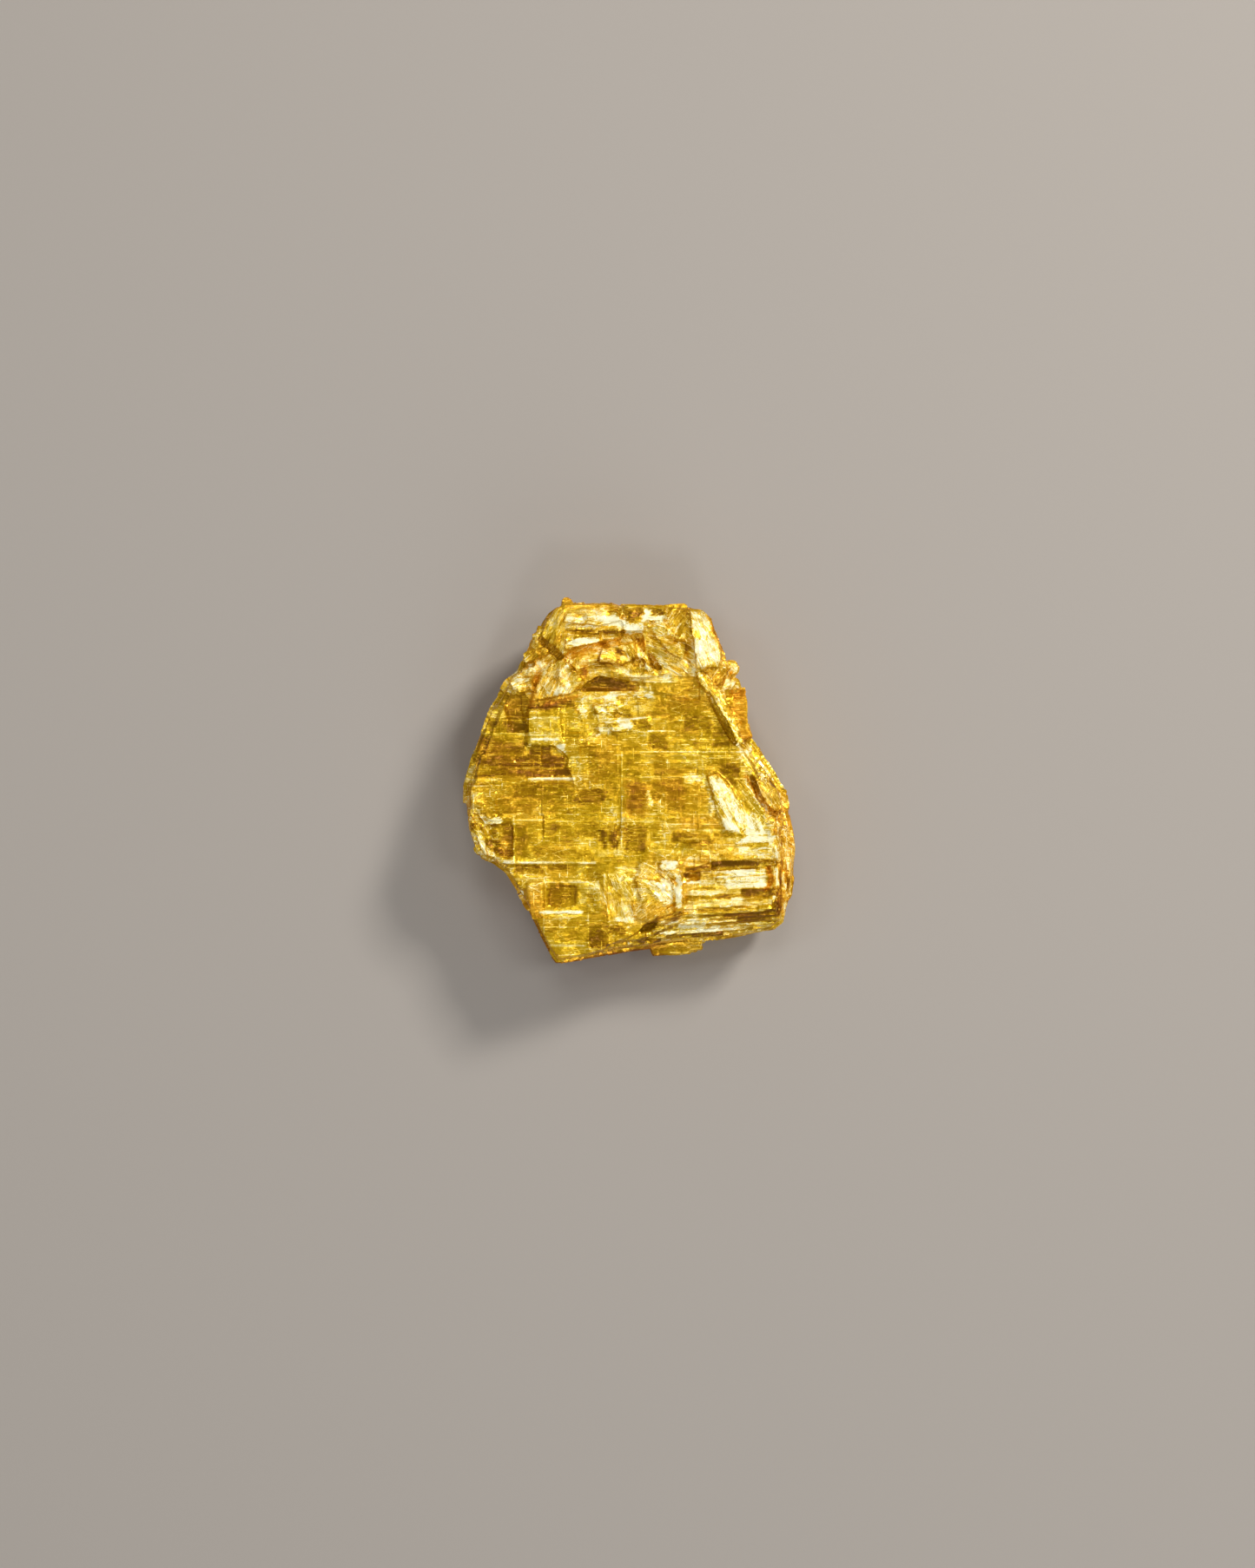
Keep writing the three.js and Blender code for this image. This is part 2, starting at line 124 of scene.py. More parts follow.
def depth_inside(places: np.ndarray, outline: Outline) -> np.ndarray:
    """Measures how deep each place lies inside an outline, negative outside it.

    Args:
        places: places in the plan, one row each.
        outline: the outline's corners, in order.

    Returns:
        The distance to the outline, positive inside and negative outside.
    """
    inside = np.zeros(len(places), bool)
    corners = np.array(outline, float)
    x, y = places[:, 0], places[:, 1]
    for i in range(len(corners)):
        ax, ay = corners[i]
        bx, by = corners[(i + 1) % len(corners)]
        if ay == by:
            continue
        crosses = (ay > y) != (by > y)
        inside ^= crosses & (x < ax + (y - ay) * (bx - ax) / (by - ay))
    gap = distance_to_path(places, outline, closed=True)
    return np.where(inside, gap, -gap)


def depth_from_rim(places: np.ndarray, bins: int = 540) -> np.ndarray:
    """Measures how far in from the rim the places lie, along the line to the middle.

    Args:
        places: places in the plan, one row each, which reach the rim all round.
        bins: how many directions the rim is looked for in.

    Returns:
        The distance of each place from the rim.
    """
    radius = np.linalg.norm(places, axis=1)
    turn = np.arctan2(places[:, 1], places[:, 0]) / (2 * np.pi) + 0.5
    sector = np.minimum((turn * bins).astype(int), bins - 1)
    rim = np.zeros(bins)
    np.maximum.at(rim, sector, radius)
    rim = np.maximum(rim, np.maximum(np.roll(rim, 1), np.roll(rim, -1)))
    return rim[sector] - radius


def block(left: float, top: float, right: float, bottom: float) -> Outline:
    """Gives the outline of an upright rectangle."""
    return ((left, top), (right, top), (right, bottom), (left, bottom))


# ------------------------------------------------------------------------------ the carving


@dataclass(frozen=True)
class Bedding:
    """The direction of the cleavage traces: level, but climbing to the right in the low corner."""

    climb: float = 0.07
    starts_right_of: float = 4.0
    full_below: float = -10.5
    none_above: float = -6.5

    def level(self, x: np.ndarray, y: np.ndarray) -> np.ndarray:
        """Gives y as it would be if the traces ran level everywhere.

        Args:
            x: places across the slab.
            y: places along the slab.

        Returns:
            y with the climb of the traces taken off.
        """
        share = smooth_ramp(-self.none_above, -self.full_below, -y)
        return y - self.climb * np.maximum(0.0, x - self.starts_right_of) * share


@dataclass(frozen=True)
class CleavageTiles:
    """Large rectangular cleavage plates of the show face, each a little raised and tilted."""

    across: Point = (-14.5, 14.5)
    along: Point = (-16.0, 16.0)
    smallest: Point = (1.5, 0.8)
    stop_chance: float = 0.25
    flatness: float = 1.5
    rise: float = 0.02
    slope: float = 0.028
    seed: int = 3

    def _split(self, box: tuple[float, float, float, float],
               random: np.random.Generator) -> list[tuple[float, float, float, float]]:
        """Splits a box into plates by one straight cut after another.

        Args:
            box: left, right, low and high edge.
            random: source of the cuts.

        Returns:
            The plates' boxes.
        """
        left, right, low, high = box
        wide = (right - left) > self.flatness * (high - low)
        size = (right - left) if wide else (high - low)
        limit = self.smallest[0] if wide else self.smallest[1]
        small = size < 4.0 * limit and random.random() < self.stop_chance
        if size < 2.0 * limit or small:
            return [box]
        cut = random.uniform(0.28, 0.72)
        if wide:
            middle = left + cut * (right - left)
            halves = ((left, middle, low, high), (middle, right, low, high))
        else:
            middle = low + cut * (high - low)
            halves = ((left, right, low, middle), (left, right, middle, high))
        return [tile for half in halves for tile in self._split(half, random)]

    def carve(self, x: np.ndarray, y: np.ndarray) -> tuple[np.ndarray, np.ndarray]:
        """Works out how the plates raise the show face.

        Args:
            x: places across the slab.
            y: places along the slab, levelled to the bedding.

        Returns:
            The rise at each place, and each plate's own shade from 0 to 1.
        """
        random = np.random.default_rng(self.seed)
        tiles = self._split((*self.across, *self.along), random)
        rise = np.zeros(len(x))
        shade = np.zeros(len(x))
        for left, right, low, high in tiles:
            inside = np.flatnonzero((x >= left) & (x < right) & (y >= low) & (y < high))
            lift = random.normal(0.0, self.rise)
            slope_x, slope_y = random.normal(0.0, self.slope, 2)
            shade[inside] = random.random()
            rise[inside] = (lift + slope_x * (x[inside] - (left + right) / 2)
                            + slope_y * (y[inside] - (low + high) / 2))
        return rise, shade


@dataclass(frozen=True)
class Slivers:
    """Long thin slivers that lie along the cleavage traces, each raised and tilted."""

    thickness: Point = (0.14, 0.7)
    length: Point = (5.0, 14.0)
    rise: float = 0.010
    slope: float = 0.025
    span: float = 34.0
    rows: int = 240
    runs: int = 61
    seed: int = 11

    def carve(self, x: np.ndarray, y: np.ndarray) -> np.ndarray:
        """Gives how the slivers raise the show face at each place."""
        return self.carve_shaded(x, y)[0]

    def carve_shaded(self, x: np.ndarray, y: np.ndarray) -> tuple[np.ndarray, np.ndarray]:
        """Works out how the slivers raise the show face.

        Args:
            x: places along the traces.
            y: places across the traces.

        Returns:
            The rise at each place, and each sliver's own shade from 0 to 1.
        """
        random = np.random.default_rng(self.seed)
        low, high = np.log(self.thickness)
        widths = np.exp(random.uniform(low, high, self.rows))
        edges = np.cumsum(widths) - self.span / 2
        row = np.clip(np.searchsorted(edges, y), 0, self.rows - 1)
        lengths = widths * random.uniform(*self.length, self.rows)
        phase = random.uniform(0.0, 10.0, self.rows)
        run = np.floor((x + self.span) / lengths[row] + phase[row]).astype(int) % self.runs
        size = (self.rows, self.runs)
        lift = random.normal(0.0, self.rise, size)[row, run]
        slope = random.normal(0.0, self.slope, size)[row, run]
        shade = random.random(size)[row, run]
        return lift + slope * (y - (edges - widths / 2)[row]), shade


@dataclass(frozen=True)
class Creases:
    """Flat facets that join along sharp folds, like creased foil."""

    cell: Point
    height: float
    seed: int
    wander: float = 0.3
    table_size: int = 64

    def carve(self, x: np.ndarray, y: np.ndarray) -> np.ndarray:
        """Works out how the facets raise the face.

        Args:
            x: places across the slab.
            y: places along the slab.

        Returns:
            The rise at each place.
        """
        random = np.random.default_rng(self.seed)
        size = self.table_size
        table = random.normal(0.0, self.height, (size, size))
        turned = random.random((size, size)) < 0.5
        u, v = x / self.cell[0], y / self.cell[1]
        u, v = (u + self.wander * np.sin(1.7 * v + 0.6 * u + self.seed),
                v + self.wander * np.sin(1.9 * u - 0.5 * v + 2.0 * self.seed))
        i, j = np.floor(u).astype(int), np.floor(v).astype(int)
        fu, fv = u - i, v - j
        i, j = i % size, j % size
        right, up = (i + 1) % size, (j + 1) % size
        a, b, c, d = table[i, j], table[right, j], table[i, up], table[right, up]
        rising = np.where(fu > fv, a + (b - a) * fu + (d - b) * fv, a + (c - a) * fv + (d - c) * fu)
        falling = np.where(fu + fv < 1.0, a + (b - a) * fu + (c - a) * fv,
                           d + (c - d) * (1.0 - fu) + (b - d) * (1.0 - fv))
        return np.where(turned[i, j], rising, falling)


@dataclass(frozen=True)
class CrushedPatch:
    """A patch of the show face that is crushed into creased facets."""

    outline: Outline
    strength: float
    soft: float = 0.5

    def share(self, places: np.ndarray) -> np.ndarray:
        """Gives how strongly each place is crushed."""
        return self.strength * smooth_ramp(-self.soft / 2, self.soft / 2,
                                           depth_inside(places, self.outline))


@dataclass(frozen=True)
class GrainTurn:
    """A part of the show face whose grain runs in a direction of its own."""

    outline: Outline
    angle: float
    bend: float = 0.0

    def turned(self, places: np.ndarray) -> tuple[np.ndarray, np.ndarray]:
        """Gives how far along and how far across the grain each place is."""
        middle = np.array(self.outline).mean(0)
        x, y = (places - middle).T
        cosine, sine = np.cos(np.radians(self.angle)), np.sin(np.radians(self.angle))
        along = cosine * x + sine * y
        return middle[0] + along, middle[1] - sine * x + cosine * y + self.bend * along ** 2


@dataclass(frozen=True)
class Step:
    """A long thin edge on the show face: a raised rib, or a groove where the height is negative."""

    path: Outline
    width: float
    height: float

    def carve(self, places: np.ndarray) -> np.ndarray:
        """Gives the rise of the step at each place."""
        gap = distance_to_path(places, self.path, closed=False)
        return self.height * (1.0 - smooth_ramp(self.width * 0.35, self.width, gap))


@dataclass(frozen=True)
class FeatheredEdge:
    """A plate's edge that thins out onto the lower level beside it."""

    path: Outline
    top: float
    reach: float

    def fill(self, co: np.ndarray) -> np.ndarray:
        """Gives how far each place is raised to meet the plate."""
        gap = distance_to_path(co[:, :2], self.path, closed=False)
        return np.maximum(self.top - co[:, 2], 0.0) * (1.0 - smooth_ramp(0.1, self.reach, gap))


@dataclass(frozen=True)
class EdgeLamellae:
    """Thin cleavage lamellae on the slab's sides, whose edges stand in and out in steps."""

    thickness: float = 0.272
    wave: float = 0.05
    shortest_run: float = 1.2
    longest_run: float = 4.5
    reach: float = 0.17
    proud_share: float = 0.5
    typical_radius: float = 13.5
    layers: int = 64
    runs: int = 97
    seed: int = 21

    def carve(self, co: np.ndarray, lean: np.ndarray) -> tuple[np.ndarray, np.ndarray]:
        """Works out how far each lamella's edge stands out.

        Args:
            co: places on the slab, one row each.
            lean: how far the side moves in for each millimetre up.

        Returns:
            The way out at each place, negative inwards, and each lamella's shade.
        """
        random = np.random.default_rng(self.seed)
        around = np.arctan2(co[:, 1], co[:, 0]) * self.typical_radius
        height = (co[:, 2] + self.wave * np.sin(around * 0.35)
                  + self.wave * np.sin(around * 0.9 + 1.0))
        level = height / self.thickness
        layer = np.clip(np.floor(level).astype(int), 0, self.layers - 1)
        lengths = random.uniform(self.shortest_run, self.longest_run, self.layers)
        starts = random.uniform(0.0, 5.0, self.layers)
        run = np.floor((around + 60.0 + starts[layer]) / lengths[layer]).astype(int) % self.runs
        table = random.random((self.layers, self.runs))
        out = (table[layer, run] * (1.0 + self.proud_share) - 1.0) * self.reach
        tread = (level - np.floor(level) - 0.5) * self.thickness * np.clip(lean, -1.5, 1.5)
        return out + tread, random.random((self.layers, self.runs))[layer, run]


class Tint(Enum):
    """The masks that the materials read from the mesh."""

    # window tones, together with painted shadows and painted highlights
    PANE_AND_PAINTED_LIGHT = "pane"
    # deep olive windows, and painted shade in crevices, in hollows, under ledges and on the shaded
    # side below
    DEPTH_AND_SHADE = "depth"
    # painted highlights: pale glints and sheen painted on broken places, ridges, ledges and lit
    # sides
    PAINTED_HIGHLIGHT = "painted_highlight"
    # orange stains and edges, and painted shade in dark orange on the shaded side below and on small
    # steep walls
    RUST_AND_SHADE = "rust_and_shade"
    SHADE = "shade"
    CRUSH = "crush"
    BANDS = "bands"
    BEDDING = "bedding"
    ALONG = "along"
    LAYER = "layer"
    LEVEL_GAP = "level_gap"
    LEVEL_LINE = "level_line"
    UPRIGHT_GAP = "upright_gap"
    UPRIGHT_LINE = "upright_line"


@dataclass(frozen=True)
class Zone:
    """A place with its own look, soft at its rim, on the show face or on the sides below it."""

    tint: Tint
    outline: Outline
    amount: float
    soft: float = 0.25
    below: bool = False

    def paint(self, places: np.ndarray) -> np.ndarray:
        """Gives how much of the look each place gets, from 0 to the zone's amount."""
        inside = depth_inside(places, self.outline)
        return self.amount * smooth_ramp(-self.soft, self.soft, inside)

    def lean(self, places: np.ndarray, slope: float) -> np.ndarray:
        """Tilts the place as a facet: bright ones face up and to the right, dark ones away.

        Args:
            places: places in the plan.
            slope: the slope of a facet of full strength.

        Returns:
            The rise at each place.
        """
        corners = np.array(self.outline)
        middle = (corners.min(0) + corners.max(0)) / 2
        reach = np.linalg.norm(corners.max(0) - corners.min(0)) / 2
        steep = np.sign(self.amount) * min(slope * abs(self.amount), 0.09 / reach)
        away = (places - middle) @ np.array((0.68, 0.73))
        return -steep * away * smooth_ramp(-0.05, 0.05, depth_inside(places, self.outline))


def pane(left: float, top: float, right: float, bottom: float, tone: float) -> Zone:
    """Gives one rectangle that is lighter or darker than its surroundings: mostly a cleavage window,
    in a few places painted shade.
    """
    return Zone(Tint.PANE_AND_PAINTED_LIGHT, block(left, top, right, bottom), tone, 0.09)


@dataclass(frozen=True)
class Streak:
    """A thin line on the show face with its own look."""

    tint: Tint
    path: Outline
    width: float
    amount: float
    below: bool = False

    def paint(self, places: np.ndarray) -> np.ndarray:
        """Gives how much of the look each place gets, from 0 to the streak's amount."""
        gap = distance_to_path(places, self.path, closed=False)
        return self.amount * (1.0 - smooth_ramp(self.width * 0.3, self.width, gap))


CRUSHED_PATCHES = (
    # the whole top
    CrushedPatch(((-7.6, 7.0), (-7.9, 10.8), (-5.9, 13.6), (-1.8, 14.1), (4.8, 13.8), (4.9, 10.2),
                  (5.7, 8.6), (1.0, 8.2), (-2.4, 8.4), (-4.1, 7.2)), 1.7),
    CrushedPatch(((4.6, 13.9), (6.6, 13.8), (8.0, 9.8), (5.7, 8.8), (4.7, 10.2)), 1.2),
    # crumbs beside the cap and on the shoulder
    CrushedPatch(((-8.8, 9.4), (-7.0, 12.9), (-5.3, 13.8), (-5.2, 10.6), (-6.8, 8.6)), 1.8),
    CrushedPatch(((-10.1, 7.2), (-9.6, 8.7), (-7.6, 9.4), (-7.4, 7.2)), 1.7),
    # the left rim
    CrushedPatch(((-13.4, -0.8), (-12.2, -0.8), (-11.3, -3.2), (-9.3, -5.8), (-9.6, -7.4),
                  (-12.6, -6.2), (-13.5, -3.6)), 1.5),
    # the crumpled place above the low ledges
    CrushedPatch(((-0.6, -6.9), (0.9, -6.5), (4.3, -6.6), (4.3, -10.6), (1.4, -11.6), (-1.0, -10.8),
                  (-2.2, -8.6)), 1.6, 0.9),
    CrushedPatch(((-4.0, -7.4), (-1.7, -7.2), (-1.7, -10.4), (-4.0, -10.2)), 0.8),
    # the pocket and the slope at the right
    CrushedPatch(((5.6, 9.2), (8.0, 9.8), (8.9, 7.2), (7.2, 6.6)), 1.6),
    CrushedPatch(((8.4, 3.2), (9.4, 3.2), (12.4, -0.5), (13.6, -6.0), (11.6, -6.2), (10.9, -2.8),
                  (9.2, 0.2)), 1.2),
    CrushedPatch(((11.6, -6.0), (13.6, -6.0), (13.6, -11.0), (11.4, -11.2)), 1.0),
    CrushedPatch(((4.3, -4.6), (11.6, -4.4), (11.9, -6.4), (4.3, -6.6)), 0.8),
    # the broken place in the middle of the top
    CrushedPatch(((-4.4, 7.2), (2.1, 7.2), (2.0, 4.0), (-2.9, 3.7)), 1.0),
    # faint wrinkles in the middle of the show face
    CrushedPatch(((-8.0, -2.4), (2.5, -2.2), (4.2, -6.2), (-8.0, -6.2)), 0.35),
    # the low right treads
    CrushedPatch(((5.6, -6.5), (12.9, -6.2), (13.0, -10.6), (5.6, -10.6)), 0.6),
)

GRAIN_TURNS = (
    # the top
    GrainTurn(((-7.4, 11.0), (-6.0, 13.9), (-5.0, 14.3), (-4.9, 10.6), (-5.4, 10.2)), 62.0),
    GrainTurn(((-5.0, 14.4), (-0.4, 14.4), (-0.4, 11.5), (-3.0, 11.0), (-4.9, 10.4)), 3.0),
    GrainTurn(((-4.9, 10.5), (-3.0, 11.1), (-0.4, 11.5), (0.2, 9.4), (-0.6, 8.4), (-3.3, 8.6),
               (-5.2, 8.3)), 0.0, 0.1),
    GrainTurn(((-0.3, 11.8), (1.5, 11.8), (2.6, 9.0), (0.1, 8.7), (0.0, 9.6)), -58.0, 0.05),
    GrainTurn(((1.2, 12.0), (2.2, 12.9), (3.6, 11.9), (4.6, 11.6), (5.6, 10.2), (4.9, 8.9),
               (3.0, 8.8), (1.5, 11.0)), -24.0, 0.03),
    GrainTurn(((3.2, 14.2), (4.4, 14.1), (4.7, 12.6), (4.2, 11.5), (3.0, 12.2)), 58.0, 0.06),
    GrainTurn(((4.9, 14.0), (6.3, 13.9), (7.2, 11.8), (5.6, 11.2), (4.6, 11.8)), -52.0, 0.04),
    GrainTurn(((5.4, 11.3), (7.1, 11.9), (8.0, 9.6), (6.4, 8.9), (5.4, 9.4)), -68.0),
    GrainTurn(((-8.9, 9.2), (-8.0, 11.2), (-6.9, 11.2), (-5.2, 9.9), (-6.8, 8.8)), 40.0),
    GrainTurn(((-7.8, 6.1), (-6.7, 9.3), (-4.9, 9.4), (-4.2, 7.0)), 62.0, 0.04),
    GrainTurn(((-10.3, 7.0), (-9.8, 8.9), (-7.6, 9.0), (-8.0, 7.2)), 18.0, 0.1),
    # the right side
    GrainTurn(((6.1, 9.1), (8.6, 9.1), (8.5, 7.5), (6.9, 7.6)), 52.0),
    GrainTurn(((5.2, 9.0), (6.1, 9.0), (7.0, 7.5), (9.1, 3.2), (8.1, 3.4), (6.6, 6.6)), -62.0),
    GrainTurn(((9.1, 3.3), (10.4, 3.2), (13.0, -1.4), (11.2, -2.6), (9.6, 0.6)), -55.0, 0.03),
    GrainTurn(((11.7, -2.0), (13.8, -2.0), (13.8, -11.0), (11.7, -11.0)), -82.0),
    GrainTurn(((6.3, 0.7), (7.0, 0.8), (10.9, -3.0), (10.8, -3.9), (7.6, -3.8), (6.6, -0.6)),
              -58.0, 0.03),
    GrainTurn(((8.2, 0.0), (9.6, 0.3), (11.3, -2.9), (10.6, -3.0)), -50.0),
    # the crumpled place above the low ledges, and the left rim
    GrainTurn(((0.9, -6.5), (2.4, -6.9), (3.4, -7.3), (4.3, -7.6), (4.3, -9.4), (2.8, -9.9),
               (1.6, -9.1), (1.0, -7.9)), -36.0, 0.05),
    GrainTurn(((1.5, -9.2), (2.8, -9.9), (4.3, -9.5), (4.3, -10.4), (1.2, -11.3), (0.5, -10.4)),
              32.0, 0.04),
    GrainTurn(((-2.6, -8.0), (-1.4, -7.5), (-0.3, -7.9), (0.5, -8.8), (0.4, -10.2), (0.0, -11.2),
               (-1.8, -10.6)), -74.0, 0.04),
    GrainTurn(((-13.6, -2.7), (-11.6, -2.7), (-10.6, -6.0), (-12.4, -6.8)), -58.0),
)

CREASES = (
    Creases((1.7, 0.8), 0.10, 41),
    Creases((0.7, 0.45), 0.045, 42),
)

STEPS = (
    Step(((-8.1, 0.25), (-4.6, 0.3)), 0.2, 0.06),
    Step(((-9.9, -6.5), (-2.8, -6.5)), 0.2, 0.06),
    Step(((-6.9, -10.4), (-4.1, -10.4)), 0.2, 0.08),
    Step(((-1.8, 4.8), (1.4, 5.2)), 0.2, 0.08),
    Step(((6.7, -7.15), (10.2, -6.95)), 0.16, -0.14),
    Step(((8.1, -7.75), (10.6, -7.5)), 0.16, -0.14),
    Step(((11.2, -6.9), (11.5, -7.8), (11.1, -8.7)), 0.2, -0.2),
    Step(((6.4, 13.4), (6.9, 12.0), (7.9, 10.1)), 0.16, -0.18),
    Step(((-3.8, 10.5), (-3.2, 10.8), (-0.7, 11.4)), 0.18, -0.12),
)

TREADS = ((0.2, -11.6), (2.2, -10.8), (12.8, -9.5), (13.6, -10.4), (12.8, -13.0), (0.0, -14.0))

FEATHERED_EDGES = (
    FeatheredEdge(((-1.3, -5.7), (-1.8, -6.7), (-1.9, -11.0), (-2.9, -12.5)), 8.5, 1.5),
)

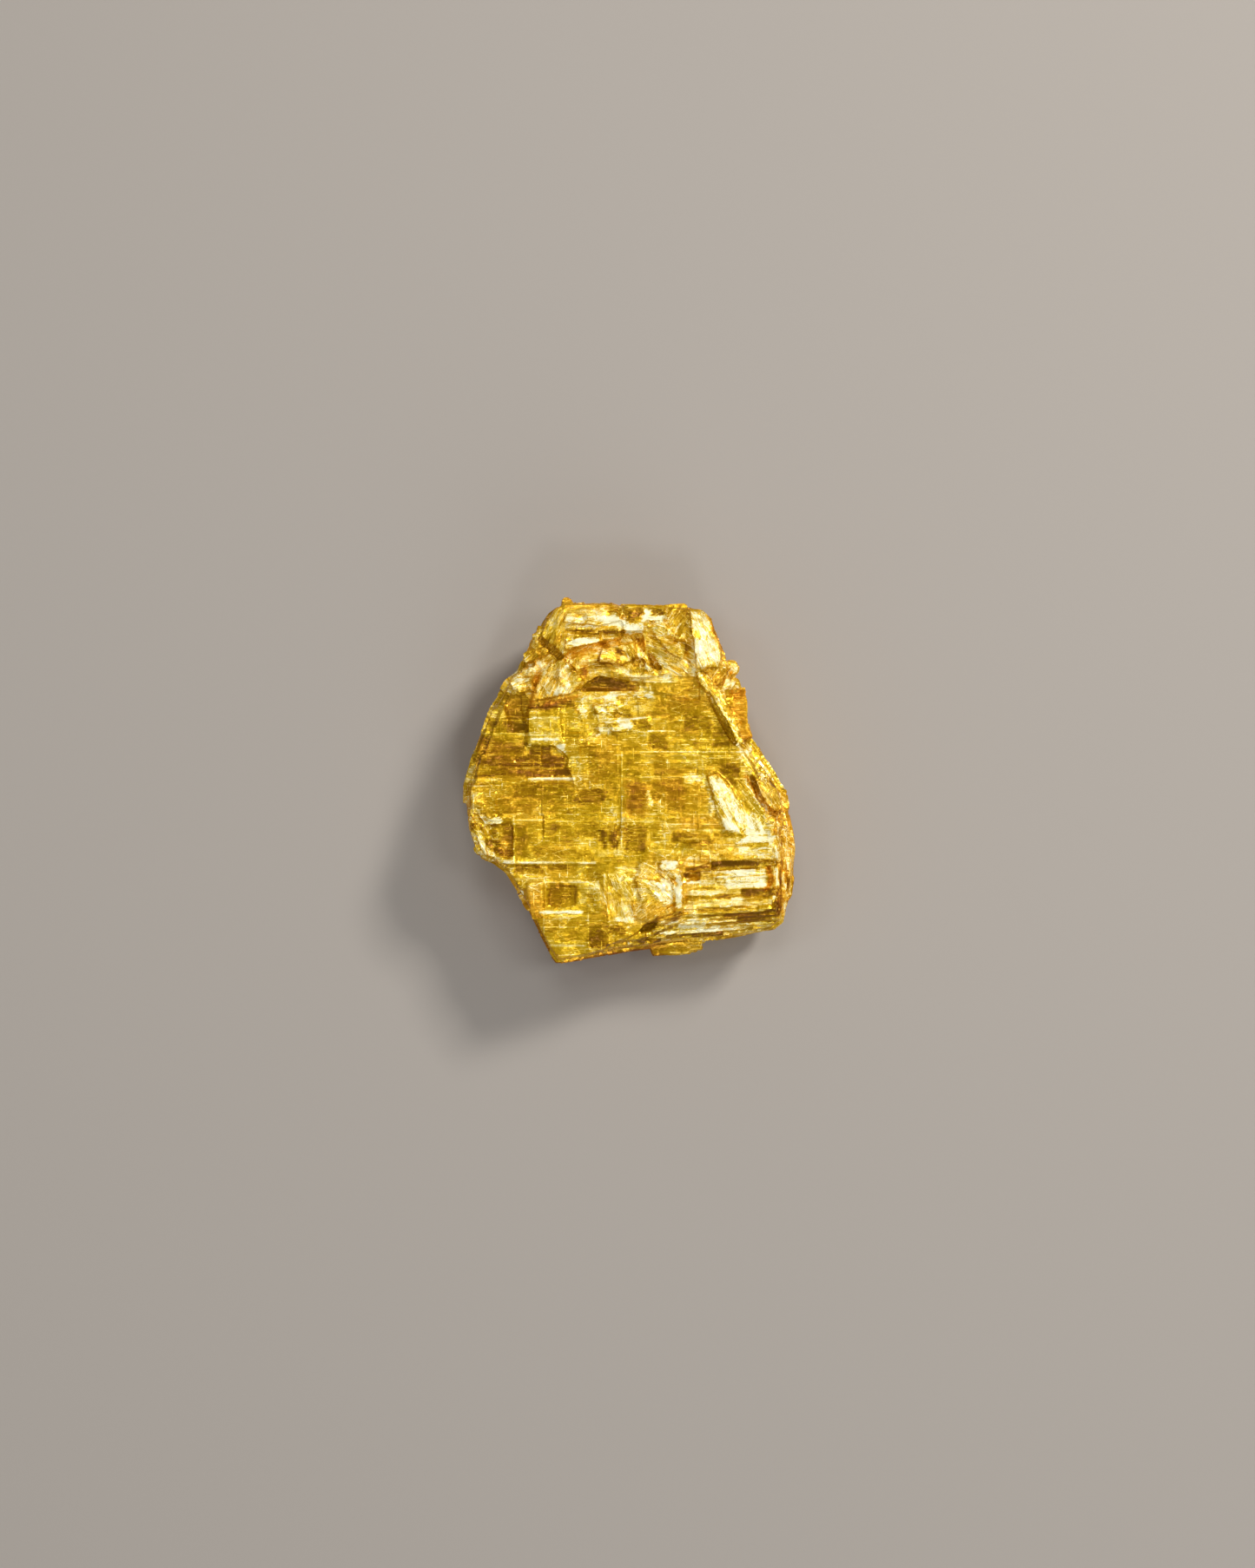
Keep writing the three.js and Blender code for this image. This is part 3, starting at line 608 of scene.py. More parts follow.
PANES = (
    # the cap
    pane(-5.0, 14.1, -1.0, 13.5, 0.0), pane(-1.9, 13.9, -0.4, 13.35, -0.2),
    pane(-0.3, 13.8, 1.0, 12.95, -0.3), pane(1.1, 14.1, 1.6, 12.9, 0.4),
    pane(1.2, 13.9, 2.9, 12.85, 0.2), pane(1.7, 13.9, 2.8, 13.4, -0.56),
    pane(-5.2, 13.3, -0.3, 12.5, 0.22), pane(-4.4, 12.65, -2.3, 12.2, 0.2),
    # the dark pane at -4.9..-0.5 across, 12.3..11.9 along is painted shadow below the cap's bright
    # bands
    pane(-4.9, 12.3, -0.5, 11.9, -0.46), pane(1.2, 12.7, 2.9, 11.7, -0.06),
    pane(3.0, 13.8, 4.8, 11.6, 0.02),
    Zone(Tint.PANE_AND_PAINTED_LIGHT, ((4.9, 13.9), (6.3, 13.9), (7.5, 9.8), (6.0, 9.0), (4.9, 9.0)), 0.24, 0.2),
    pane(-2.2, 11.6, -0.7, 10.8, -0.1), pane(0.6, 11.6, 1.2, 11.0, -0.36),
    pane(-1.0, 10.9, -0.5, 10.3, -0.4), pane(1.2, 11.7, 3.4, 11.15, -0.14),
    pane(-3.3, 10.2, -0.4, 9.6, -0.08), pane(-3.3, 9.5, -0.6, 9.1, 0.0),
    pane(-3.9, 9.3, -3.4, 8.6, -0.4), pane(0.1, 8.6, 3.4, 8.1, 0.3),
    pane(-1.3, 9.1, -0.1, 8.8, 0.2), pane(-3.2, 9.0, -1.6, 8.5, 0.1),
    pane(2.6, 10.6, 4.8, 9.6, 0.0), pane(3.6, 9.4, 5.0, 8.4, -0.06),
    # between the cap and the large face
    pane(1.0, 7.9, 5.0, 7.2, -0.05), pane(2.0, 7.1, 4.6, 6.6, -0.12),
    pane(0.4, 7.8, 1.9, 6.9, 0.12), pane(6.5, 7.6, 8.3, 6.4, 0.12),
    # the left plates
    pane(-10.0, 7.1, -8.2, 5.9, -0.22), pane(-10.0, 5.9, -8.2, 4.9, -0.3),
    pane(-10.0, 4.9, -8.2, 4.0, -0.42), pane(-11.4, 5.0, -10.1, 4.1, -0.24),
    pane(-11.2, 6.1, -10.1, 5.2, 0.08), pane(-12.6, 3.7, -8.3, 2.3, -0.18),
    pane(-12.6, 2.1, -9.2, 0.6, -0.15), pane(-9.1, 1.0, -5.8, 0.45, -0.3),
    pane(-6.0, 1.05, -4.75, 0.45, -0.34), pane(-9.2, 2.1, -5.2, 1.1, -0.35),
    pane(-8.1, 2.9, -6.3, 2.1, -0.4), pane(-7.6, 5.2, -5.4, 3.0, 0.06),
    pane(-8.1, 5.7, -7.6, 4.4, 0.0), pane(-5.3, 4.0, -3.3, 3.0, -0.1),
    pane(-4.7, 2.1, -3.4, 0.5, 0.04), pane(-3.3, 2.5, -2.1, 0.3, -0.14),
    pane(-2.1, 2.8, -1.4, 0.2, -0.12), pane(-3.5, 6.0, -2.7, 5.1, -0.14),
    pane(-1.3, 6.0, 0.3, 5.2, -0.25), pane(-1.2, 4.1, -0.1, 2.8, 0.0),
    pane(-1.3, 2.0, -0.6, 0.1, -0.16),
    # the right window
    pane(4.5, 6.9, 6.6, 5.3, -0.05), pane(4.4, 5.3, 6.6, 4.1, -0.2),
    pane(4.2, 4.5, 5.6, 3.4, -0.08), pane(6.6, 5.0, 8.2, 2.9, -0.18),
    pane(3.0, 7.0, 4.4, 5.5, -0.08), pane(1.6, 4.1, 3.0, 2.7, -0.25),
    pane(0.2, 5.0, 1.6, 4.2, -0.35), pane(0.3, 2.75, 8.5, 2.3, -0.02),
    pane(2.0, 2.2, 2.9, 0.6, -0.12), pane(6.4, 2.0, 8.3, 1.2, -0.12),
    pane(0.1, 1.9, 1.3, 0.5, 0.0), pane(-0.5, 3.9, 0.9, 2.9, 0.05),
    pane(3.1, 5.0, 4.2, 3.0, -0.04), pane(6.4, 3.3, 8.1, 2.8, -0.1),
    pane(5.0, 3.3, 6.4, 2.85, -0.15),
    # the middle
    pane(0.0, -0.1, 1.3, -2.9, -0.16), pane(1.6, -0.1, 4.0, -1.6, -0.1),
    pane(4.6, -0.2, 6.3, -2.6, 0.0), pane(-0.4, -3.5, 1.4, -5.6, -0.34),
    pane(1.6, -3.4, 2.5, -4.8, -0.14), pane(4.2, -2.9, 7.6, -3.6, 0.05),
    pane(3.4, -4.0, 6.6, -4.9, -0.25), pane(6.8, -4.0, 9.4, -4.4, -0.26),
    pane(9.4, -4.0, 11.6, -5.2, 0.12), pane(8.6, -5.5, 9.6, -5.8, 0.2),
    pane(4.6, -5.9, 5.6, -6.4, 0.35), pane(2.6, -4.9, 6.8, -5.6, -0.12),
    # the middle left
    pane(-12.9, -0.2, -9.4, -0.6, 0.04), pane(-12.9, -1.2, -9.5, -2.7, -0.12),
    pane(-9.4, -0.1, -4.4, -1.4, -0.2), pane(-4.4, -0.5, -2.0, -1.7, -0.33),
    pane(-6.4, -1.4, -2.2, -3.1, -0.12), pane(-2.1, 0.0, -0.8, -3.0, -0.04),
    pane(-12.8, -3.4, -11.9, -3.9, -0.4), pane(-11.2, -3.5, -10.4, -4.6, -0.2),
    pane(-11.6, -4.7, -10.3, -5.1, -0.5), pane(-11.0, -5.2, -10.3, -5.8, -0.5),
    pane(-10.3, -3.4, -9.4, -6.1, -0.24), pane(-9.2, -3.4, -8.2, -6.0, -0.14),
    pane(-7.8, -5.2, -6.9, -6.0, -0.16), pane(-6.3, -3.4, -5.6, -4.0, -0.24),
    pane(-5.5, -3.5, -4.4, -4.9, -0.14), pane(-4.3, -3.3, -2.5, -4.5, -0.12),
    pane(-4.5, -5.6, -3.0, -6.1, -0.12), pane(-2.3, -3.8, -1.9, -5.2, -0.36),
    pane(-1.5, -4.0, -1.0, -5.4, -0.4),
    # the low left
    pane(-9.3, -6.7, -7.0, -7.3, -0.38), pane(-6.6, -6.7, -4.8, -7.15, -0.26),
    pane(-9.2, -7.6, -6.5, -7.9, 0.06), pane(-8.1, -8.1, -6.6, -8.9, 0.04),
    pane(-6.5, -8.2, -4.9, -9.9, -0.26), pane(-4.9, -8.3, -2.9, -8.8, -0.08),
    pane(-4.9, -8.3, -4.2, -9.9, -0.25), pane(-8.2, -8.3, -7.1, -10.6, 0.12),
    pane(-9.2, -8.6, -8.4, -9.6, 0.64), pane(-3.3, -10.5, -1.7, -13.3, -0.24),
    pane(-5.9, -11.1, -4.0, -12.9, -0.1),
    pane(-3.2, -12.0, -2.0, -13.1, -0.14), pane(-1.7, -11.5, -0.4, -12.3, -0.35),
    pane(-4.0, -10.6, -3.4, -12.8, -0.08), pane(-3.9, -7.3, -2.1, -7.9, -0.2),
    pane(-1.9, -7.9, 0.9, -8.5, -0.1),
    # the low right
    pane(4.4, -7.3, 5.6, -7.7, -0.32), pane(4.4, -8.2, 7.0, -8.7, -0.12),
    pane(5.0, -8.8, 9.2, -9.9, 0.1), pane(7.6, -8.6, 11.0, -9.1, -0.12),
    pane(4.4, -9.0, 5.2, -9.9, 0.05), pane(6.7, -6.5, 11.9, -6.75, -0.3),
    pane(6.8, -6.8, 8.0, -7.25, 0.05), pane(11.1, -6.6, 11.5, -8.8, -0.2),
    pane(12.0, -6.6, 13.2, -8.6, 0.0),
)

ZONES = (
    # darker and brighter places that are not squares
    Zone(Tint.PANE_AND_PAINTED_LIGHT, ((-6.9, 13.3), (-5.3, 13.9), (-4.9, 12.0), (-5.5, 10.3), (-7.0, 11.4)), -0.1),
    Zone(Tint.PANE_AND_PAINTED_LIGHT, ((-8.1, 11.0), (-7.1, 11.4), (-5.2, 9.9), (-5.6, 9.6), (-8.4, 9.9)), -0.12),
    Zone(Tint.PANE_AND_PAINTED_LIGHT, ((0.0, 9.9), (0.6, 9.8), (2.5, 9.0), (2.7, 8.7), (0.3, 8.8)), -0.25, 0.12),
    Zone(Tint.PANE_AND_PAINTED_LIGHT, ((1.5, 10.9), (2.0, 10.6), (2.6, 9.3), (2.1, 9.2), (1.5, 10.2)), -0.1, 0.15),
    # painted shadow in the hollow below the cap
    Zone(Tint.PANE_AND_PAINTED_LIGHT, ((-4.0, 7.3), (-3.4, 7.8), (-2.4, 8.4), (-0.2, 8.0), (0.7, 7.8), (0.7, 7.3)),
         -0.42, 0.12),
    # painted shadow under the flap
    Zone(Tint.PANE_AND_PAINTED_LIGHT, ((-8.2, 5.7), (-8.0, 6.1), (-4.6, 6.6), (-4.3, 6.1)), -0.45, 0.2),
    Zone(Tint.PANE_AND_PAINTED_LIGHT, ((-7.5, 6.4), (-6.6, 9.2), (-5.0, 9.3), (-4.4, 7.1)), 0.08),
    Zone(Tint.PANE_AND_PAINTED_LIGHT, ((3.2, 6.9), (5.3, 7.2), (7.2, 6.0), (8.3, 4.4), (8.8, 3.0), (4.6, 2.8),
                     (3.2, 3.6)), -0.05, 0.5),
    Zone(Tint.PANE_AND_PAINTED_LIGHT, ((7.0, 1.0), (8.5, 1.6), (9.2, 0.8), (8.2, -0.4)), -0.22, 0.3),
    Zone(Tint.PANE_AND_PAINTED_LIGHT, ((-12.3, 0.5), (-12.0, 3.8), (-8.2, 2.9), (-6.1, 2.8), (-4.9, 1.8),
                     (-4.6, 0.4)), -0.06, 0.3),
    # painted shadow lines on the treads: a dark band below a bright edge, and a small dark hollow
    Zone(Tint.PANE_AND_PAINTED_LIGHT, ((4.0, -10.3), (12.2, -10.0), (12.2, -10.6), (4.0, -10.95)), -0.15, 0.15),
    Zone(Tint.PANE_AND_PAINTED_LIGHT, ((1.0, -11.9), (1.5, -11.2), (2.4, -10.9), (2.3, -12.0)), -0.2, 0.15),
    Zone(Tint.PANE_AND_PAINTED_LIGHT, ((2.4, -11.0), (9.0, -10.9), (9.0, -11.9), (1.6, -12.7)), 0.12, 0.3),
    Zone(Tint.PANE_AND_PAINTED_LIGHT, ((0.8, -12.8), (12.2, -11.6), (12.0, -12.4), (1.0, -13.6)), -0.05, 0.3),
    Zone(Tint.PANE_AND_PAINTED_LIGHT, ((-8.8, 8.7), (-7.3, 9.8), (-6.3, 9.4), (-7.0, 8.3)), 0.25, 0.2),
    Zone(Tint.PANE_AND_PAINTED_LIGHT, ((6.3, 0.4), (7.2, 0.7), (8.9, -2.0), (11.2, -3.1), (11.0, -4.0),
                     (7.8, -3.9), (6.6, -2.4)), 0.14, 0.45),
    Zone(Tint.PANE_AND_PAINTED_LIGHT, block(7.7, -7.2, 11.0, -8.1), 0.18, 0.15),
    Zone(Tint.PANE_AND_PAINTED_LIGHT, ((8.4, 7.4), (9.4, 7.2), (9.5, 4.2), (8.7, 4.0)), 0.08, 0.2),
    Zone(Tint.PANE_AND_PAINTED_LIGHT, block(-4.6, 11.6, -2.4, 10.9), 0.28, 0.12),
    Zone(Tint.PANE_AND_PAINTED_LIGHT, block(-2.5, -3.3, -0.4, -5.3), -0.17, 0.15),
    # these five lift places that also carry painted highlights, as more painted highlight
    Zone(Tint.PANE_AND_PAINTED_LIGHT, ((1.0, 9.6), (2.1, 9.2), (1.9, 8.9), (0.9, 9.3)), 0.22, 0.12),
    Zone(Tint.PANE_AND_PAINTED_LIGHT, block(-11.1, -3.0, -10.2, -3.4), 0.2, 0.1),
    Zone(Tint.PANE_AND_PAINTED_LIGHT, ((-6.2, 3.1), (-5.3, 3.1), (-5.0, 2.2), (-5.6, 2.4)), 0.16, 0.12),
    Zone(Tint.PANE_AND_PAINTED_LIGHT, block(-0.3, 12.8, 1.15, 11.9), 0.12, 0.1),
    Zone(Tint.PANE_AND_PAINTED_LIGHT, ((9.2, 3.1), (10.0, 3.0), (10.0, 2.2), (9.4, 2.3)), 0.14, 0.15),
    # fine windows that fray into their surroundings; the first is painted shade in a small hollow on
    # the treads
    Zone(Tint.DEPTH_AND_SHADE, ((0.9, -11.8), (1.4, -11.3), (2.3, -11.1), (2.2, -11.6), (1.6, -11.9)),
         0.6, 0.15),
    Zone(Tint.DEPTH_AND_SHADE, block(-9.1, -3.3, -2.4, -6.3), 0.35, 0.4),
    Zone(Tint.DEPTH_AND_SHADE, block(-0.6, 2.4, 4.6, -3.0), 0.35, 0.6),
    # painted highlights on bright broken places
    Zone(Tint.PAINTED_HIGHLIGHT, block(-1.9, 7.0, -0.9, 6.2), 1.0, 0.12),
    Zone(Tint.PAINTED_HIGHLIGHT, block(-2.8, 6.0, -1.9, 5.1), 0.95, 0.12),
    Zone(Tint.PAINTED_HIGHLIGHT, ((-1.5, 4.6), (0.2, 4.7), (0.1, 4.1), (-1.4, 3.9)), 1.0, 0.1),
    Zone(Tint.PAINTED_HIGHLIGHT, block(-2.6, 4.4, -1.5, 3.8), 0.9, 0.1),
    Zone(Tint.PAINTED_HIGHLIGHT, ((-4.4, 6.1), (-3.9, 6.2), (-3.2, 5.1), (-3.7, 5.1)), 0.9, 0.1),
    Zone(Tint.PAINTED_HIGHLIGHT, block(-8.1, 5.8, -7.2, 5.4), 0.5, 0.1),
    Zone(Tint.PAINTED_HIGHLIGHT, block(0.5, 7.9, 1.9, 6.9), 0.6, 0.15),
    Zone(Tint.PAINTED_HIGHLIGHT, ((6.3, 0.6), (7.0, 0.7), (8.0, -0.4), (8.9, -2.0), (10.2, -3.0),
                      (10.7, -4.0), (7.7, -3.9), (7.5, -2.5), (7.0, -1.4), (6.5, -0.4)),
         0.8, 0.4),
    Zone(Tint.PAINTED_HIGHLIGHT, ((6.2, -0.5), (6.7, -0.6), (7.3, -2.4), (6.4, -2.4)), 0.55, 0.3),
    Zone(Tint.PAINTED_HIGHLIGHT, ((4.2, 0.6), (6.5, 0.8), (6.4, -0.4), (4.0, -0.3)), 0.6, 0.2),
    Zone(Tint.PAINTED_HIGHLIGHT, ((4.7, 13.8), (6.0, 13.8), (6.7, 12.6), (7.1, 10.9), (7.7, 9.5),
                      (5.7, 9.0), (4.9, 10.2)), 0.45, 0.5),
    Zone(Tint.PAINTED_HIGHLIGHT, ((-5.2, 13.2), (-1.7, 13.5), (-0.3, 13.3), (-0.5, 12.5), (-4.5, 12.5)),
         0.55, 0.15),
    Zone(Tint.PAINTED_HIGHLIGHT, ((-4.9, 11.2), (-4.0, 11.8), (-2.3, 11.6), (-2.3, 11.1), (-4.2, 10.8)),
         1.1, 0.12),
    Zone(Tint.PAINTED_HIGHLIGHT, block(-0.4, 12.8, 1.15, 11.9), 1.0, 0.08),
    Zone(Tint.PAINTED_HIGHLIGHT, block(1.1, 14.0, 1.5, 12.9), 0.9, 0.1),
    Zone(Tint.PAINTED_HIGHLIGHT, block(1.5, 13.4, 2.8, 12.9), 0.8, 0.15),
    Zone(Tint.PAINTED_HIGHLIGHT, ((7.2, -7.2), (11.0, -6.9), (11.3, -8.5), (8.3, -8.3), (7.1, -8.0)),
         0.8, 0.15),
    Zone(Tint.PAINTED_HIGHLIGHT, ((7.6, -3.2), (10.9, -3.3), (11.7, -5.9), (9.0, -5.9), (8.4, -4.6)),
         0.6, 0.5),
    Zone(Tint.PAINTED_HIGHLIGHT, block(2.6, -6.4, 3.9, -7.1), 1.2, 0.1),
    Zone(Tint.PAINTED_HIGHLIGHT, ((0.9, -7.8), (3.6, -7.8), (4.2, -9.4), (3.4, -9.9), (2.0, -9.2)), 0.65, 0.3),
    Zone(Tint.PAINTED_HIGHLIGHT, block(3.7, -7.5, 4.3, -10.1), 0.9, 0.1),
    Zone(Tint.PAINTED_HIGHLIGHT, block(1.8, -7.9, 2.8, -8.5), 0.8, 0.1),
    Zone(Tint.PAINTED_HIGHLIGHT, ((-1.3, -10.9), (0.4, -10.9), (0.2, -11.4), (-1.0, -11.3)), 0.8, 0.12),
    Zone(Tint.PAINTED_HIGHLIGHT, block(4.4, -8.0, 5.8, -8.2), 1.0, 0.08),
    Zone(Tint.PAINTED_HIGHLIGHT, ((9.2, 3.1), (10.0, 3.0), (10.0, 2.2), (9.4, 2.3)), 1.0, 0.2),
    Zone(Tint.PAINTED_HIGHLIGHT, ((10.0, 2.1), (10.8, 2.0), (12.1, 0.2), (11.6, -0.2), (10.3, 0.4)),
         0.9, 0.25),
    Zone(Tint.PAINTED_HIGHLIGHT, ((-5.8, 7.7), (-5.3, 7.8), (-5.4, 7.0), (-6.0, 7.0)), 0.9, 0.1),
    Zone(Tint.PAINTED_HIGHLIGHT, block(-5.1, 8.1, -4.7, 7.5), 0.8, 0.1),
    Zone(Tint.PAINTED_HIGHLIGHT, ((-6.2, 3.1), (-5.3, 3.1), (-5.0, 2.2), (-5.6, 2.4)), 1.0, 0.1),
    Zone(Tint.PAINTED_HIGHLIGHT, ((-9.5, 8.8), (-8.0, 8.5), (-7.9, 7.3), (-9.6, 7.7)), 0.75, 0.3),
    Zone(Tint.PAINTED_HIGHLIGHT, ((1.0, 9.6), (2.1, 9.2), (1.9, 8.9), (0.9, 9.3)), 1.2, 0.1),
    Zone(Tint.PAINTED_HIGHLIGHT, ((-5.2, 10.1), (-4.5, 10.5), (-4.6, 9.0), (-5.1, 9.2)), 0.8, 0.15),
    Zone(Tint.PAINTED_HIGHLIGHT, ((-13.1, -3.2), (-12.5, -2.8), (-11.4, -3.2), (-11.9, -4.2), (-11.3, -5.2),
                      (-10.8, -5.9), (-11.4, -6.3), (-12.9, -4.8)), 0.6, 0.2),
    Zone(Tint.PAINTED_HIGHLIGHT, block(-11.1, -3.0, -10.2, -3.4), 1.2, 0.08),
    # banded places
    Zone(Tint.BANDS, ((4.6, -6.6), (13.2, -6.2), (13.2, -10.4), (3.0, -14.2), (-0.5, -13.6),
                      (2.2, -11.6), (4.4, -10.6)), 1.0, 0.3),
    Zone(Tint.BANDS, ((4.6, -3.2), (11.6, -3.2), (11.9, -6.3), (4.6, -6.4)), 0.5, 0.8),
    Zone(Tint.BANDS, ((-5.2, 13.8), (0.0, 13.6), (-0.4, 10.8), (-5.0, 10.9)), 0.45, 0.4),
    Zone(Tint.BANDS, ((-13.2, 2.2), (-4.6, 1.8), (-4.6, -0.2), (-13.2, -0.6)), 0.4, 0.4),
    # painted shade in dark orange on the shaded side below, and painted highlights on the lit sides
    Zone(Tint.DEPTH_AND_SHADE, ((-12.0, -8.0), (2.2, -10.0), (2.2, -17.0), (-12.0, -17.0)), 1.0, 2.4, True),
    Zone(Tint.RUST_AND_SHADE, ((-12.0, -8.0), (2.2, -10.0), (2.2, -17.0), (-12.0, -17.0)), 1.0, 2.4, True),
    Zone(Tint.PAINTED_HIGHLIGHT, ((11.6, -2.2), (13.6, -3.6), (13.6, -11.0), (11.6, -11.0)), 0.35, 0.4),
    Zone(Tint.PAINTED_HIGHLIGHT, ((1.4, -11.4), (12.8, -10.2), (12.4, -12.2), (1.0, -13.4)), 0.45, 0.4),
    Zone(Tint.PAINTED_HIGHLIGHT, ((1.4, -11.4), (12.8, -10.2), (12.4, -12.2), (1.0, -13.4)), 0.3, 0.4, True),
    # orange edges and stains
    Zone(Tint.RUST_AND_SHADE, ((-12.2, 3.8), (-8.2, 2.8), (-6.1, 2.7), (-4.9, 1.4), (-4.5, 0.3),
                     (-12.7, 0.2)), 0.4),
    Zone(Tint.RUST_AND_SHADE, block(-10.1, 7.0, -8.2, 4.1), 0.15),
    Zone(Tint.RUST_AND_SHADE, block(-10.3, -3.4, -9.4, -6.1), 0.35, 0.15),
    Zone(Tint.RUST_AND_SHADE, block(-9.2, 1.0, -5.0, 0.0), 0.25),
    Zone(Tint.RUST_AND_SHADE, ((8.3, 7.6), (9.4, 7.4), (9.5, 4.9), (10.2, 3.5), (9.0, 3.2), (8.3, 5.4)),
         0.9, 0.25),
    Zone(Tint.RUST_AND_SHADE, block(-0.3, -0.2, 1.6, -2.8), 0.6, 0.4),
    Zone(Tint.RUST_AND_SHADE, block(1.6, 0.2, 4.4, -1.8), 0.35, 0.5),
    Zone(Tint.RUST_AND_SHADE, block(4.2, -2.7, 7.6, -3.7), 0.45, 0.3),
    Zone(Tint.RUST_AND_SHADE, ((6.1, 9.0), (8.4, 9.0), (8.4, 7.6), (7.0, 7.6)), 0.4, 0.3),
    Zone(Tint.RUST_AND_SHADE, ((-7.5, 6.4), (-6.6, 9.2), (-5.0, 9.3), (-4.4, 7.1)), 0.3, 0.2),
    Zone(Tint.RUST_AND_SHADE, ((10.0, 0.2), (11.2, 0.5), (12.8, -1.0), (13.5, -4.0), (13.5, -10.4),
                     (11.9, -10.4), (12.0, -4.6), (10.9, -2.6)), 0.65, 0.3),
    Zone(Tint.RUST_AND_SHADE, block(-8.2, -8.3, -7.0, -11.0), 0.5, 0.2),
    Zone(Tint.RUST_AND_SHADE, block(-7.0, -10.8, -4.0, -12.8), 0.2, 0.3),
    Zone(Tint.RUST_AND_SHADE, block(0.2, -9.8, 4.3, -11.3), 0.45, 0.4),
    Zone(Tint.RUST_AND_SHADE, ((-5.4, 14.8), (-0.5, 14.6), (-0.5, 14.0), (-5.0, 14.0)), 0.5, 0.2),
    Zone(Tint.RUST_AND_SHADE, block(4.0, -5.9, 6.7, -6.9), 0.5, 0.25),
    Zone(Tint.RUST_AND_SHADE, ((-3.9, 10.0), (-3.3, 10.2), (-3.4, 9.1), (-3.9, 9.2)), 0.8, 0.1),
    Zone(Tint.RUST_AND_SHADE, block(0.6, 11.6, 1.3, 10.9), 0.4, 0.1),
    Zone(Tint.RUST_AND_SHADE, ((-4.6, 6.0), (-4.2, 6.1), (-3.8, 5.5), (-4.2, 5.4)), 0.7, 0.1),
)

